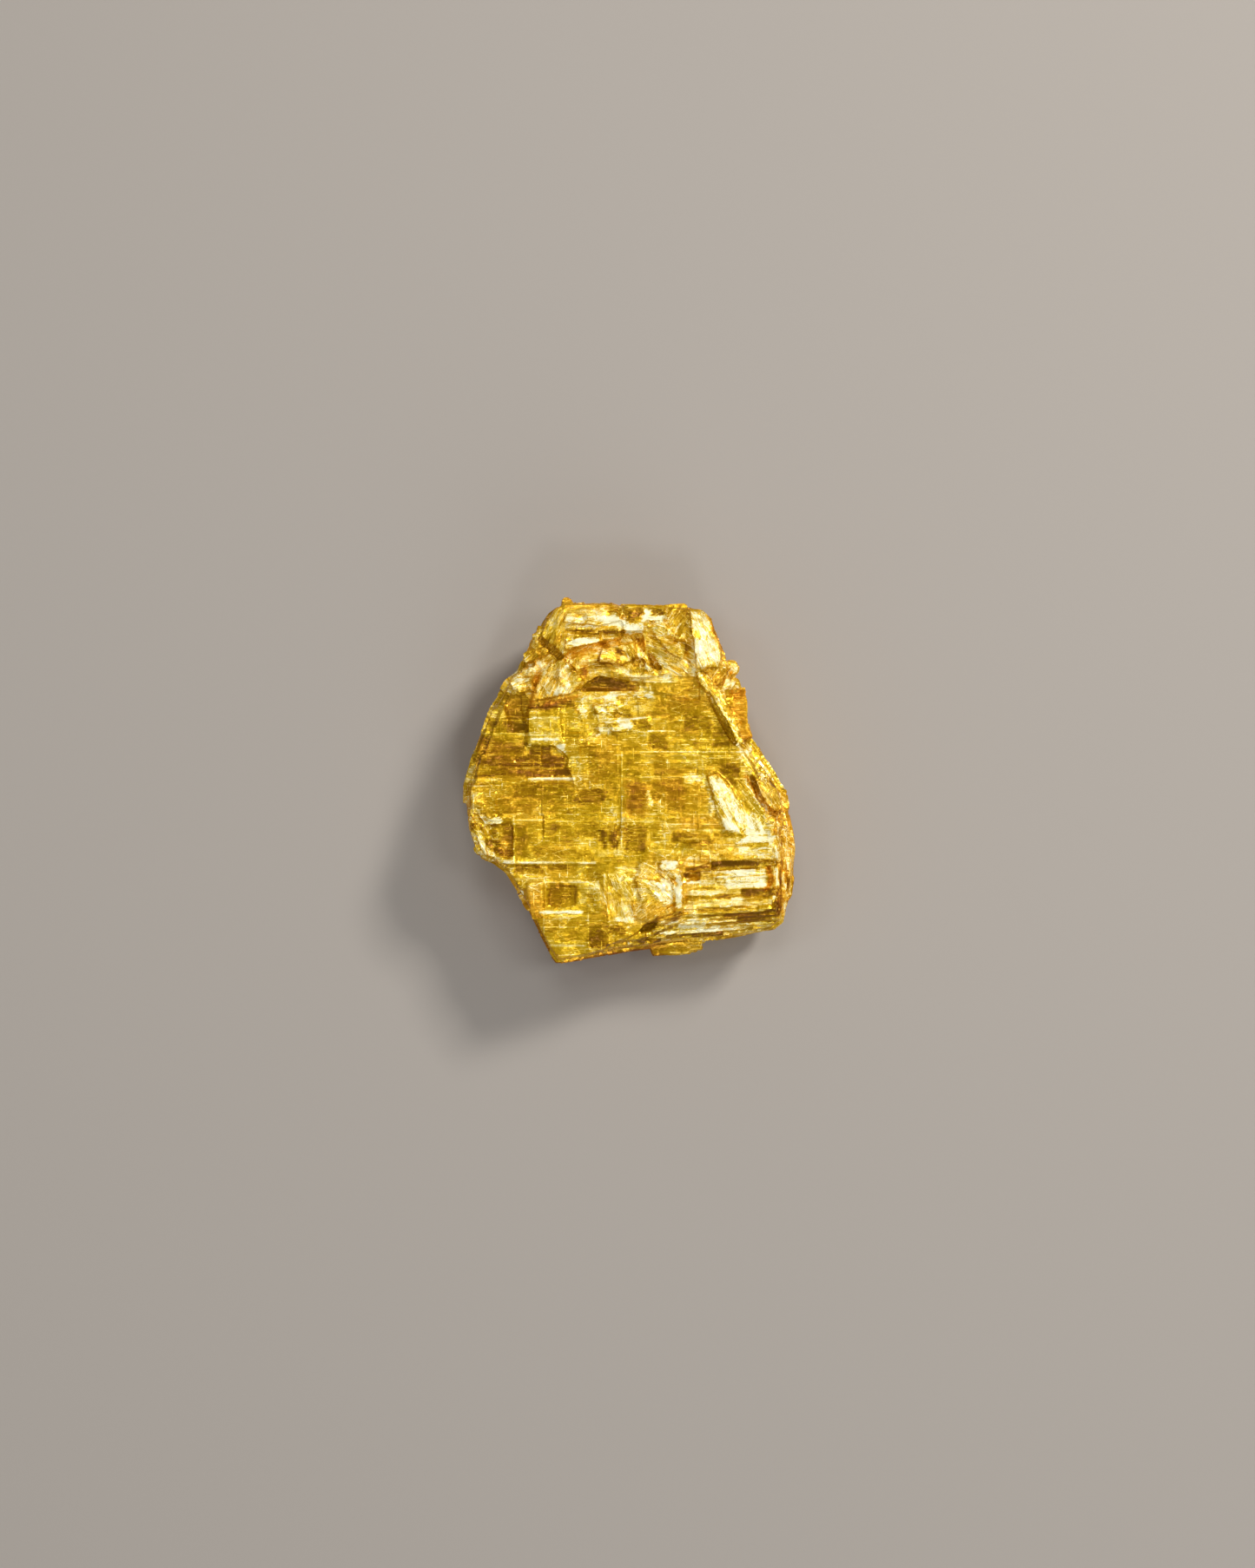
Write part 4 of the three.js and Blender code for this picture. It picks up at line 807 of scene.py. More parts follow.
STREAKS = (
    # the thin layers of the low right treads: painted highlights along them and painted shadow lines
    # between them
    Streak(Tint.PAINTED_HIGHLIGHT, ((5.0, -10.6), (8.0, -10.3), (11.6, -10.0)), 0.22, 0.4),
    Streak(Tint.PAINTED_HIGHLIGHT, ((2.4, -11.35), (4.6, -11.15), (6.6, -10.95)), 0.24, 0.55),
    Streak(Tint.PAINTED_HIGHLIGHT, ((2.0, -11.8), (4.5, -11.6), (7.2, -11.3)), 0.22, 0.5),
    Streak(Tint.PAINTED_HIGHLIGHT, ((1.0, -12.35), (5.0, -12.0), (8.0, -11.65), (11.0, -11.35)), 0.2, 0.4),
    Streak(Tint.PAINTED_HIGHLIGHT, ((0.4, -12.75), (2.6, -12.55), (5.0, -12.4)), 0.18, 0.4),
    Streak(Tint.DEPTH_AND_SHADE, ((2.2, -11.0), (4.2, -10.65), (8.0, -10.25), (11.8, -9.95)), 0.2, 0.75),
    Streak(Tint.DEPTH_AND_SHADE, ((2.4, -11.55), (5.0, -11.35), (9.0, -10.95), (11.6, -10.7)), 0.17, 0.7),
    Streak(Tint.DEPTH_AND_SHADE, ((1.6, -12.1), (5.0, -11.8), (9.0, -11.35)), 0.17, 0.7),
    Streak(Tint.DEPTH_AND_SHADE, ((0.8, -12.6), (3.0, -12.4), (6.5, -12.1), (10.0, -11.7)), 0.17, 0.7),
    # painted shadow in a strip beside the higher slab at the right of the cap
    Streak(Tint.PANE_AND_PAINTED_LIGHT, ((4.75, 13.9), (4.75, 11.0), (5.0, 9.2)), 0.4, -0.2),
    # painted glints and highlights on a leaf, ridges, nubs and crumbs
    Streak(Tint.PAINTED_HIGHLIGHT, ((1.4, -0.9), (1.9, -1.8)), 0.3, 1.0),
    Streak(Tint.PAINTED_HIGHLIGHT, ((9.6, -0.3), (10.9, -2.2)), 0.4, 0.9),
    Streak(Tint.PAINTED_HIGHLIGHT, ((5.3, 9.0), (6.1, 7.8), (7.4, 5.9), (8.2, 4.6), (8.7, 3.2)), 0.5, 0.7),
    Streak(Tint.PAINTED_HIGHLIGHT, ((8.4, 9.4), (8.8, 8.8)), 0.45, 1.0),
    Streak(Tint.PAINTED_HIGHLIGHT, ((8.0, 8.1), (8.8, 7.6)), 0.45, 0.9),
    Streak(Tint.PAINTED_HIGHLIGHT, ((-11.6, -3.4), (-11.2, -3.2)), 0.4, 1.0),
    Streak(Tint.PAINTED_HIGHLIGHT, ((-11.0, -3.1), (-10.4, -3.1)), 0.35, 1.0),
    Streak(Tint.PAINTED_HIGHLIGHT, ((-8.0, 9.3), (-7.8, 9.4)), 0.4, 1.0),
    Streak(Tint.PAINTED_HIGHLIGHT, ((-7.5, 9.7), (-7.3, 9.6)), 0.35, 1.0),
    Streak(Tint.RUST_AND_SHADE, ((-7.2, 8.4), (-7.9, 6.2)), 0.4, 1.0),
    Streak(Tint.RUST_AND_SHADE, ((-6.8, 6.3), (-4.1, 6.9)), 0.3, 0.9),
    Streak(Tint.RUST_AND_SHADE, ((6.4, 13.4), (6.9, 12.0), (7.9, 10.1)), 0.25, 1.0),
    Streak(Tint.RUST_AND_SHADE, ((11.2, -6.9), (11.5, -7.8), (11.1, -8.7)), 0.3, 1.0),
    Streak(Tint.RUST_AND_SHADE, ((9.4, 0.5), (10.3, -1.1), (11.4, -2.3), (12.2, -2.7)), 0.3, 1.0),
    Streak(Tint.RUST_AND_SHADE, ((-3.6, 10.2), (-3.5, 8.6)), 0.3, 0.7),
    Streak(Tint.RUST_AND_SHADE, ((-5.2, 10.0), (-3.2, 10.9), (-0.7, 11.4)), 0.2, 0.5),
    # painted shadows: in the crease under the cap, in the crevice at the right, under a ledge, in a
    # crevice and in the hollow below the cap
    Streak(Tint.DEPTH_AND_SHADE, ((-7.1, 11.4), (-5.3, 9.8)), 0.35, 0.5),
    Streak(Tint.DEPTH_AND_SHADE, ((9.4, 0.5), (10.3, -1.1), (11.4, -2.3), (12.2, -2.7)), 0.2, 0.8),
    Streak(Tint.DEPTH_AND_SHADE, ((6.6, -6.6), (11.6, -6.4)), 0.25, 1.0),
    Streak(Tint.DEPTH_AND_SHADE, ((1.0, 9.7), (2.4, 9.3)), 0.3, 0.9),
    Streak(Tint.DEPTH_AND_SHADE, ((-3.4, 8.0), (-2.6, 8.3), (-0.3, 7.9)), 0.3, 0.9),
)


@dataclass(frozen=True)
class TraceAndEdgeLightLine:
    """One prominent straight line, bright or dark: most are cleavage traces, the strong bright ones
    painted highlights on ledge edges and the dark ones painted shade in grooves and under a shelf.
    """

    start: Point
    end: Point
    width: float = 0.09
    strength: float = 0.6

    @property
    def upright(self) -> bool:
        """Whether the trace runs along Y."""
        return abs(self.end[1] - self.start[1]) > abs(self.end[0] - self.start[0])

    def gap(self, places: np.ndarray) -> np.ndarray:
        """Gives how far places lie to one side of the line, in widths, negative on the other."""
        along = np.array(self.end) - np.array(self.start)
        side = np.array((-along[1], along[0])) / np.linalg.norm(along)
        return (places - np.array(self.start)) @ side / self.width


# the strong bright lines at 0.26, -6.5 and -10.5 along are painted highlights on ledge edges; those
# with negative strength are painted shade in grooves and under the cap's shelf
TRACES_AND_PAINTED_EDGE_LIGHT = (
    TraceAndEdgeLightLine((-12.0, 3.9), (-8.15, 3.9)),
    TraceAndEdgeLightLine((1.1, 2.43), (9.5, 2.43), 0.09, 0.7),
    TraceAndEdgeLightLine((6.7, 1.94), (8.2, 1.94)),
    TraceAndEdgeLightLine((-9.3, 1.59), (-7.3, 1.57)),
    TraceAndEdgeLightLine((-9.3, 1.12), (-5.56, 1.1), 0.1, 0.75),
    TraceAndEdgeLightLine((-0.8, 0.4), (5.3, 0.42), 0.1, 0.7),
    TraceAndEdgeLightLine((-13.2, 0.19), (-10.9, 0.19)),
    TraceAndEdgeLightLine((-7.9, 0.26), (-4.6, 0.26), 0.17, 1.2),
    TraceAndEdgeLightLine((-12.8, -0.3), (-10.1, -0.3), 0.12, 0.8),
    TraceAndEdgeLightLine((-12.6, -2.85), (-11.4, -2.83)),
    TraceAndEdgeLightLine((-9.2, -3.1), (-7.0, -3.05), 0.14, 0.8),
    TraceAndEdgeLightLine((-6.6, -3.17), (2.49, -3.17), 0.09, 0.55),
    TraceAndEdgeLightLine((-9.9, -6.5), (-2.9, -6.53), 0.17, 1.0),
    TraceAndEdgeLightLine((-6.5, -8.1), (-3.5, -8.05)),
    TraceAndEdgeLightLine((-7.0, -10.5), (-4.0, -10.5), 0.24, 1.3),
    TraceAndEdgeLightLine((-7.0, -11.7), (-4.2, -11.7)),
    TraceAndEdgeLightLine((-6.2, -13.2), (-3.8, -13.2), 0.16, 0.7),
    TraceAndEdgeLightLine((-3.95, 7.26), (0.74, 7.26), 0.1, 0.7),
    TraceAndEdgeLightLine((-7.66, 5.2), (-5.9, 5.2), 0.12, 0.6),
    TraceAndEdgeLightLine((-7.7, 3.45), (-5.9, 3.45), 0.16, 0.9),
    TraceAndEdgeLightLine((-1.71, 4.81), (1.44, 5.23), 0.12, 0.9),
    TraceAndEdgeLightLine((-5.1, 3.4), (-3.9, 3.42), 0.1, 0.8),
    TraceAndEdgeLightLine((-4.5, 2.0), (-3.2, 2.0), 0.13, 0.8),
    TraceAndEdgeLightLine((1.7, 4.1), (3.5, 4.1), 0.1, 0.8),
    TraceAndEdgeLightLine((-0.59, 2.15), (-0.62, -5.0), 0.1, 0.6),
    TraceAndEdgeLightLine((-9.32, -2.9), (-9.3, -6.3), 0.12, 0.6),
    TraceAndEdgeLightLine((-12.56, -1.2), (-12.56, -2.75)),
    TraceAndEdgeLightLine((-6.9, -10.6), (-6.9, -12.1), 0.1, 0.5),
    TraceAndEdgeLightLine((-3.3, -10.6), (-3.3, -12.9), 0.1, 0.5),
    TraceAndEdgeLightLine((-2.0, -7.6), (-2.0, -9.4), 0.12, 0.5),
    TraceAndEdgeLightLine((4.72, -7.35), (5.1, -7.35), 0.14, 1.0),
    TraceAndEdgeLightLine((6.69, -7.16), (10.2, -6.95), 0.09, -1.0),
    TraceAndEdgeLightLine((8.1, -7.72), (10.6, -7.5), 0.09, -1.0),
    TraceAndEdgeLightLine((-4.9, 12.2), (-0.7, 12.1), 0.12, -0.5),
)


@dataclass
class SlabMesh:
    """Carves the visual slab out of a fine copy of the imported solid."""

    voxel: float = 0.139
    bedding: Bedding = Bedding()
    tiles: CleavageTiles = CleavageTiles()
    small_tiles: CleavageTiles = CleavageTiles(smallest=(0.5, 0.34), stop_chance=0.12, rise=0.010,
                                               slope=0.02, seed=9)
    slivers: Slivers = Slivers()
    upright_slivers: Slivers = Slivers(thickness=(0.2, 1.1), length=(2.0, 6.0), rise=0.01,
                                       slope=0.035, seed=12)
    bands: Slivers = Slivers(thickness=(0.17, 0.46), length=(6.0, 20.0), rise=0.045,
                             slope=0.26, seed=13)
    lamellae: EdgeLamellae = EdgeLamellae()
    show_face_above: float = 6.2
    back_below: float = 0.75
    edge_angle: float = 0.5
    ragged: float = 0.045
    uneven: float = 0.11
    stagger: Point = (0.3, 0.12)
    facet_slope: float = 0.35
    finest_grain: float = 0.004
    tread_damping: float = 0.85
    wall_painted_shade: float = 0.16
    seed: int = 5
    line_reach: float = 0.36
    drawn_from: tuple[float, float, float] = (-0.14, -0.16, 250.3)
    drawn_at: float = 4.45
    masks: dict[Tint, np.ndarray] = field(default_factory=dict)
    grains: np.ndarray | None = None

    def build(self, node: bpy.types.Object) -> bpy.types.Object:
        """Makes the carved slab.

        Args:
            node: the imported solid, which is copied and left as it is.

        Returns:
            The slab, in metres, in place.
        """
        mesh = self._fine_copy(node)
        co = np.zeros(len(mesh.vertices) * 3)
        mesh.vertices.foreach_get("co", co)
        co = co.reshape(-1, 3)
        normals = np.zeros(len(mesh.vertices) * 3)
        mesh.vertex_normals.foreach_get("vector", normals)
        normals = normals.reshape(-1, 3)
        low, high = co.min(0), co.max(0)
        carved = self._carve(co, normals)
        carved = np.clip(carved, low, high)
        mesh.vertices.foreach_set("co", (carved * METRES_PER_MM).ravel())
        mesh.update()
        slopes = np.zeros(len(co) * 3)
        mesh.vertex_normals.foreach_get("vector", slopes)
        self._paint_shade_on_slopes(slopes[2::3], carved[:, 2])
        for tint, values in self.masks.items():
            attribute = mesh.attributes.new(tint.value, "FLOAT", "POINT")
            attribute.data.foreach_set("value", values.astype(np.float32))
        self._mark_grain(mesh, co, normals)
        self._thin_back(mesh)
        slab = bpy.data.objects.new("carved_slab", mesh)
        bpy.context.scene.collection.objects.link(slab)
        return slab

    def _fine_copy(self, node: bpy.types.Object) -> bpy.types.Mesh:
        """Copies a solid's mesh, in millimetres, and remeshes it into small even faces.

        Args:
            node: the solid to copy.

        Returns:
            The fine mesh.
        """
        shell = bmesh.new()
        shell.from_mesh(node.data)
        bmesh.ops.remove_doubles(shell, verts=shell.verts, dist=1e-7)
        bmesh.ops.scale(shell, vec=(MM_PER_METRE,) * 3, verts=shell.verts)
        rough = bpy.data.meshes.new("slab_copy")
        shell.to_mesh(rough)
        shell.free()
        holder = bpy.data.objects.new("slab_copy", rough)
        bpy.context.scene.collection.objects.link(holder)
        remesh = holder.modifiers.new("fine", "REMESH")
        remesh.mode = "VOXEL"
        remesh.voxel_size = self.voxel
        depsgraph = bpy.context.evaluated_depsgraph_get()
        fine = bpy.data.meshes.new_from_object(holder.evaluated_get(depsgraph))
        fine.name = "carved_slab"
        bpy.data.objects.remove(holder)
        bpy.data.meshes.remove(rough)
        return fine

    def _carve(self, co: np.ndarray, normals: np.ndarray) -> np.ndarray:
        """Moves the fine mesh's points and works out its masks.

        Args:
            co: the points' places.
            normals: the points' normals.

        Returns:
            The points' new places.
        """
        random = np.random.default_rng(self.seed)
        z = co[:, 2]
        plan = self._drawn(co)
        seam = self._find_grains(plan, random)
        along, level = self._grain_at(co[:, :2], self.grains)
        upward = normals[:, 2]
        face = smooth_ramp(0.45, 0.85, upward) * smooth_ramp(
            self.show_face_above - 1.5, self.show_face_above, z)
        side = 1.0 - smooth_ramp(0.8, 0.95, np.abs(upward))
        side *= 1.0 - 0.75 * smooth_ramp(7.4, 8.3, z)
        crush = np.zeros(len(co))
        for patch in CRUSHED_PATCHES:
            crush = np.maximum(crush, patch.share(plan))
        rise, shade, stagger = self._relief(along, level, crush)
        rise *= 0.1 + 0.9 * smooth_ramp(0.02, 0.32, seam)
        rise += random.normal(0.0, self.finest_grain, len(co))
        for step in STEPS:
            rise += step.carve(plan)
        around = np.maximum(np.linalg.norm(normals[:, :2], axis=1), 1e-6)
        out, layer_shade = self.lamellae.carve(co, upward / around)
        shade = np.where(side > 0.5, layer_shade, shade)
        out *= 1.0 - self.tread_damping * smooth_ramp(
            -0.2, 0.3, depth_inside(plan, TREADS)) * smooth_ramp(4.2, 5.4, z)
        frayed = plan + random.normal(0.0, self.ragged, plan.shape)
        frayed += stagger
        upper = smooth_ramp(self.show_face_above - 2.5, self.show_face_above, z)
        for zone in PANES + ZONES:
            if not zone.below and zone.tint in (Tint.PANE_AND_PAINTED_LIGHT, Tint.PAINTED_HIGHLIGHT):
                rise += zone.lean(frayed, self.facet_slope) * (1.0 + 0.5 * np.minimum(crush, 1.0))
        self._paint(frayed, upper, shade)
        bands, band_shade = self.bands.carve_shaded(along, level)
        rise += bands * self.masks[Tint.BANDS]
        self.masks[Tint.BANDS] *= band_shade - 0.5
        # painted shade on the small walls inside the show face
        walls = side * upper * smooth_ramp(0.5, 1.3, depth_from_rim(co[:, :2]))
        self.masks[Tint.PANE_AND_PAINTED_LIGHT] -= self.wall_painted_shade * walls
        self.masks[Tint.CRUSH] = np.minimum(crush, 1.2) * upper
        self._mark_lines(plan, upper)
        carved = co.copy()
        carved[:, 2] += rise * face
        for edge in FEATHERED_EDGES:
            carved[:, 2] += edge.fill(co) * smooth_ramp(6.8, 7.6, z)
        carved[:, :2] += normals[:, :2] / around[:, None] * (out * side)[:, None]
        return carved

    def _find_grains(self, plan: np.ndarray, random: np.random.Generator) -> np.ndarray:
        """Finds which turned grain each point lies in, with uneven borders.

        Args:
            plan: the points' places in the plan.
            random: source of the borders' raggedness.

        Returns:
            How far each point is from the nearest border between two grains.
        """
        uneven = plan + self.uneven * (np.sin(plan[:, ::-1] * (4.3, 3.7)) + np.sin(
            plan[:, ::-1] * (9.1, 8.3) + 1.0)) + random.normal(0.0, self.ragged, plan.shape)
        seam = np.full(len(plan), FAR_AWAY)
        self.grains = np.zeros(len(plan), int)
        for number, grain in enumerate(GRAIN_TURNS, 1):
            depth = depth_inside(uneven, grain.outline)
            self.grains[depth > 0.0] = number
            seam = np.minimum(seam, np.abs(depth))
        return seam

    def _relief(self, along: np.ndarray, level: np.ndarray,
                crush: np.ndarray) -> tuple[np.ndarray, np.ndarray, np.ndarray]:
        """Lays tiles, slivers and creases over the show face.

        Args:
            along: how far along its grain each point is.
            level: how far across its grain each point is.
            crush: how strongly each point is crushed.

        Returns:
            The rise and the shade at each point, and how far the slivers shift it in the plan.
        """
        rise, shade = self.tiles.carve(along, level)
        small_rise, small_shade = self.small_tiles.carve(along, level)
        rise += small_rise
        shade = 0.55 * shade + 0.45 * small_shade
        flat = np.clip(1.0 - 0.5 * crush, 0.3, 1.0)
        sliver_rise, sliver_shade = self.slivers.carve_shaded(along, level)
        upright_rise, upright_shade = self.upright_slivers.carve_shaded(level, along)
        rise += (sliver_rise + upright_rise) * flat
        for creases in CREASES:
            rise += creases.carve(along, level) * (crush + 0.08)
        stagger = np.column_stack(((sliver_shade - 0.5) * self.stagger[0],
                                   (upright_shade - 0.5) * self.stagger[1]))
        return rise, shade, stagger

    def _paint(self, frayed: np.ndarray, upper: np.ndarray, shade: np.ndarray) -> None:
        """Fills the masks from the tables of windows, zones and streaks.

        Args:
            frayed: the points' places in the plan, with ragged edges.
            upper: 1 on the show face, 0 below it.
            shade: each point's own shade, from 0 to 1.
        """
        self.masks = {tint: np.zeros(len(frayed))
                      for tint in (Tint.PANE_AND_PAINTED_LIGHT, Tint.DEPTH_AND_SHADE, Tint.PAINTED_HIGHLIGHT, Tint.RUST_AND_SHADE, Tint.BANDS)}
        covered = np.zeros(len(frayed))
        for window in PANES:
            depth = depth_inside(frayed, window.outline)
            covered = np.maximum(covered, smooth_ramp(-0.1, 0.1, depth))
        for zone in PANES + ZONES + STREAKS:
            amount = zone.paint(frayed) * ((1.0 - upper) if zone.below else upper)
            before = self.masks[zone.tint]
            joined = before + amount if zone.tint is Tint.PANE_AND_PAINTED_LIGHT else np.maximum(before, amount)
            self.masks[zone.tint] = joined
        self.masks[Tint.SHADE] = 0.5 + (shade - 0.5) * (1.0 - 0.55 * covered * upper)

    def _drawn(self, co: np.ndarray) -> np.ndarray:
        """Gives points' places in the plan of the tables.

        The tables are drawn from a point over the slab, on a level half-way up it, so a place
        near the rim of the show face lies a little further out in them than it does on the slab.

        Args:
            co: the points' places.

        Returns:
            The points' places in the tables' plan.
        """
        over, height = np.array(self.drawn_from[:2]), self.drawn_from[2]
        return (co[:, :2] - over) * (height - self.drawn_at) / (height - co[:, 2:]) + over

    def _grain_at(self, places: np.ndarray, grains: np.ndarray) -> tuple[np.ndarray, np.ndarray]:
        """Works out where places lie in their grain.

        Args:
            places: places across and along the slab.
            grains: the number of each place's turned grain, or 0 for the slab's own.

        Returns:
            How far along and how far across its grain each place is.
        """
        along, level = places[:, 0].copy(), self.bedding.level(*places.T)
        for number, grain in enumerate(GRAIN_TURNS, 1):
            turned = grains == number
            along[turned], level[turned] = grain.turned(places[turned])
        return along, level

    def _mark_grain(self, mesh: bpy.types.Mesh, co: np.ndarray, normals: np.ndarray) -> None:
        """Gives every face's corners their places in one grain, so that no face mixes two.

        Args:
            mesh: the slab's mesh.
            co: the points' places before the carving, in millimetres.
            normals: the points' normals before the carving.
        """
        points = np.zeros(len(mesh.loops), int)
        mesh.loops.foreach_get("vertex_index", points)
        starts = np.zeros(len(mesh.polygons), int)
        mesh.polygons.foreach_get("loop_start", starts)
        sizes = np.diff(np.append(starts, len(points)))
        grains = np.repeat(np.maximum.reduceat(self.grains[points], starts), sizes)
        along, level = self._grain_at(co[points, :2], grains)
        layer = co[points, 2] + 0.9 * level * smooth_ramp(0.5, 0.9, normals[points, 2])
        for tint, values in ((Tint.ALONG, along), (Tint.BEDDING, level), (Tint.LAYER, layer)):
            attribute = mesh.attributes.new(tint.value, "FLOAT", "CORNER")
            attribute.data.foreach_set("value", values.astype(np.float32))

    def _paint_shade_on_slopes(self, upward: np.ndarray, height: np.ndarray) -> None:
        """Paints shade on the small steep walls of the show face: a darker, warmer gold, with most
        of the painted highlight taken off.

        Args:
            upward: how far up each point's normal points.
            height: each point's height.
        """
        steep = (1.0 - smooth_ramp(0.5, 0.9, upward)) * smooth_ramp(
            self.show_face_above - 1.0, self.show_face_above + 1.0, height)
        self.masks[Tint.PANE_AND_PAINTED_LIGHT] -= 0.08 * steep
        self.masks[Tint.PAINTED_HIGHLIGHT] *= 1.0 - 0.6 * steep
        self.masks[Tint.RUST_AND_SHADE] = np.maximum(self.masks[Tint.RUST_AND_SHADE], 0.16 * steep)

    def _mark_lines(self, plan: np.ndarray, upper: np.ndarray) -> None:
        """Notes for each point its nearest prominent trace and how far it is from it.

        Args:
            plan: the points' places in the plan.
            upper: 1 on the show face, 0 below it.
        """
        for upright, gap_tint, line_tint in (
                (False, Tint.LEVEL_GAP, Tint.LEVEL_LINE),
                (True, Tint.UPRIGHT_GAP, Tint.UPRIGHT_LINE)):
            nearest = np.full(len(plan), self.line_reach)
            gap = np.full(len(plan), FAR_AWAY)
            strength = np.zeros(len(plan))
            for trace in TRACES_AND_PAINTED_EDGE_LIGHT:
                if trace.upright != upright:
                    continue
                away = distance_to_path(plan, (trace.start, trace.end), closed=False)
                closer = away < nearest
                nearest[closer] = away[closer]
                gap[closer] = trace.gap(plan[closer])
                strength[closer] = trace.strength
            fade = 1.0 - smooth_ramp(self.line_reach * 0.5, self.line_reach, nearest)
            self.masks[gap_tint] = gap
            self.masks[line_tint] = strength * fade * upper

    def _thin_back(self, mesh: bpy.types.Mesh) -> None:
        """Joins the small faces of the flat back into large ones and marks the sharp edges.

        Args:
            mesh: the slab's mesh, in metres.
        """
        shell = bmesh.new()
        shell.from_mesh(mesh)
        limit = self.back_below * METRES_PER_MM
        back = [f for f in shell.faces
                if f.normal.z < -0.999 and f.calc_center_median().z < limit]
        bmesh.ops.dissolve_limit(shell, angle_limit=0.01, use_dissolve_boundaries=False,
                                 verts=list(dict.fromkeys(v for f in back for v in f.verts)),
                                 edges=list(dict.fromkeys(e for f in back for e in f.edges)))
        bmesh.ops.triangulate(shell, faces=[f for f in shell.faces if len(f.verts) > 4])
        shell.to_mesh(mesh)
        shell.free()
        mesh.polygons.foreach_set("use_smooth", np.ones(len(mesh.polygons), bool))
        mesh.set_sharp_from_angle(angle=self.edge_angle)


# ------------------------------------------------------------------------------ the finishes


class Graph:
    """A short way to lay and join shader nodes in one tree."""

    def __init__(self, tree: bpy.types.NodeTree) -> None:
        """Keeps the tree that the nodes go into."""
        self.tree = tree

    def node(self, kind: str, **settings: object) -> bpy.types.Node:
        """Adds a node of a kind, with its settings."""
        made = self.tree.nodes.new(kind)
        for name, value in settings.items():
            setattr(made, name, value)
        return made

    def feed(self, socket: bpy.types.NodeSocket, value: object) -> None:
        """Joins an output to a socket, or sets the socket to a plain value.

        Args:
            socket: the input socket.
            value: an output socket, a number, or a row of numbers.
        """
        if isinstance(value, bpy.types.NodeSocket):
            self.tree.links.new(value, socket)
        else:
            socket.default_value = value

    def math(self, operation: str, first: object, second: object = 0.0,
             clamp: bool = False) -> bpy.types.NodeSocket:
        """Does one sum on two values."""
        made = self.node("ShaderNodeMath", operation=operation, use_clamp=clamp)
        self.feed(made.inputs[0], first)
        self.feed(made.inputs[1], second)
        return made.outputs[0]

    def scaled(self, value: object, factor: object, added: object) -> bpy.types.NodeSocket:
        """Multiplies a value by a factor and adds another value."""
        made = self.node("ShaderNodeMath", operation="MULTIPLY_ADD")
        for socket, number in zip(made.inputs, (value, factor, added)):
            self.feed(socket, number)
        return made.outputs[0]

    def total(self, *parts: tuple[float, object]) -> bpy.types.NodeSocket:
        """Adds up values, each times its own factor.

        Args:
            parts: pairs of a factor and a value; a plain number is added as it is.

        Returns:
            The sum.
        """
        plain = sum(factor * value for factor, value in parts if isinstance(value, float))
        result: object = plain
        for factor, value in parts:
            if not isinstance(value, float):
                result = self.scaled(value, factor, result)
        return result

    def ramp(self, value: object, low: float, high: float, to_low: float = 0.0,
             to_high: float = 1.0) -> bpy.types.NodeSocket:
        """Eases a value from one range into another.

        Args:
            value: what is eased.
            low: where the range starts.
            high: where the range ends.
            to_low: what the start becomes.
            to_high: what the end becomes.

        Returns:
            The eased value.
        """
        made = self.node("ShaderNodeMapRange", interpolation_type="SMOOTHSTEP")
        for socket, number in zip(made.inputs, (value, low, high, to_low, to_high)):
            self.feed(socket, number)
        return made.outputs[0]

    def mix(self, share: object, first: object, second: object) -> bpy.types.NodeSocket:
        """Mixes two colours by a share of the second."""
        made = self.node("ShaderNodeMix", data_type="RGBA")
        self.feed(made.inputs[0], share)
        self.feed(made.inputs[6], first)
        self.feed(made.inputs[7], second)
        return made.outputs[2]

    def noise(self, vector: object, scale: float, detail: float = 2.0,
              roughness: float = 0.5) -> bpy.types.NodeSocket:
        """Adds a noise pattern and gives its value."""
        made = self.node("ShaderNodeTexNoise")
        self.feed(made.inputs["Vector"], vector)
        made.inputs["Scale"].default_value = scale
        made.inputs["Detail"].default_value = detail
        made.inputs["Roughness"].default_value = roughness
        return made.outputs[0]

    def stretched(self, vector: object,
                  factors: tuple[float, float, float]) -> bpy.types.NodeSocket:
        """Scales a place along each axis."""
        made = self.node("ShaderNodeMapping")
        self.feed(made.inputs["Vector"], vector)
        made.inputs["Scale"].default_value = factors
        return made.outputs[0]

    def split(self, vector: object) -> tuple[bpy.types.NodeSocket, ...]:
        """Gives the three parts of a place."""
        made = self.node("ShaderNodeSeparateXYZ")
        self.feed(made.inputs[0], vector)
        return tuple(made.outputs)

    def parts(self, colour: object) -> tuple[bpy.types.NodeSocket, ...]:
        """Gives the red, green and blue of a colour."""
        made = self.node("ShaderNodeSeparateColor")
        self.feed(made.inputs[0], colour)
        return tuple(made.outputs)

    def join(self, x: object, y: object, z: object) -> bpy.types.NodeSocket:
        """Makes a place from three parts."""
        made = self.node("ShaderNodeCombineXYZ")
        for socket, value in zip(made.inputs, (x, y, z)):
            self.feed(socket, value)
        return made.outputs[0]

    def random(self, value: object) -> bpy.types.NodeSocket:
        """Gives a random number for each value."""
        made = self.node("ShaderNodeTexWhiteNoise", noise_dimensions="1D")
        self.feed(made.inputs["W"], value)
        return made.outputs[0]

    def mask(self, tint: Tint) -> bpy.types.NodeSocket:
        """Reads one of the mesh's masks."""
        return self.node("ShaderNodeAttribute", attribute_name=tint.value).outputs["Fac"]

    def group(self, tree: bpy.types.NodeTree, **values: object) -> bpy.types.Node:
        """Places a group with its own values, named as its sockets with _ for a space."""
        made = self.node("ShaderNodeGroup", node_tree=tree)
        for name, value in values.items():
            self.feed(made.inputs[name.replace("_", " ")], value)
        return made


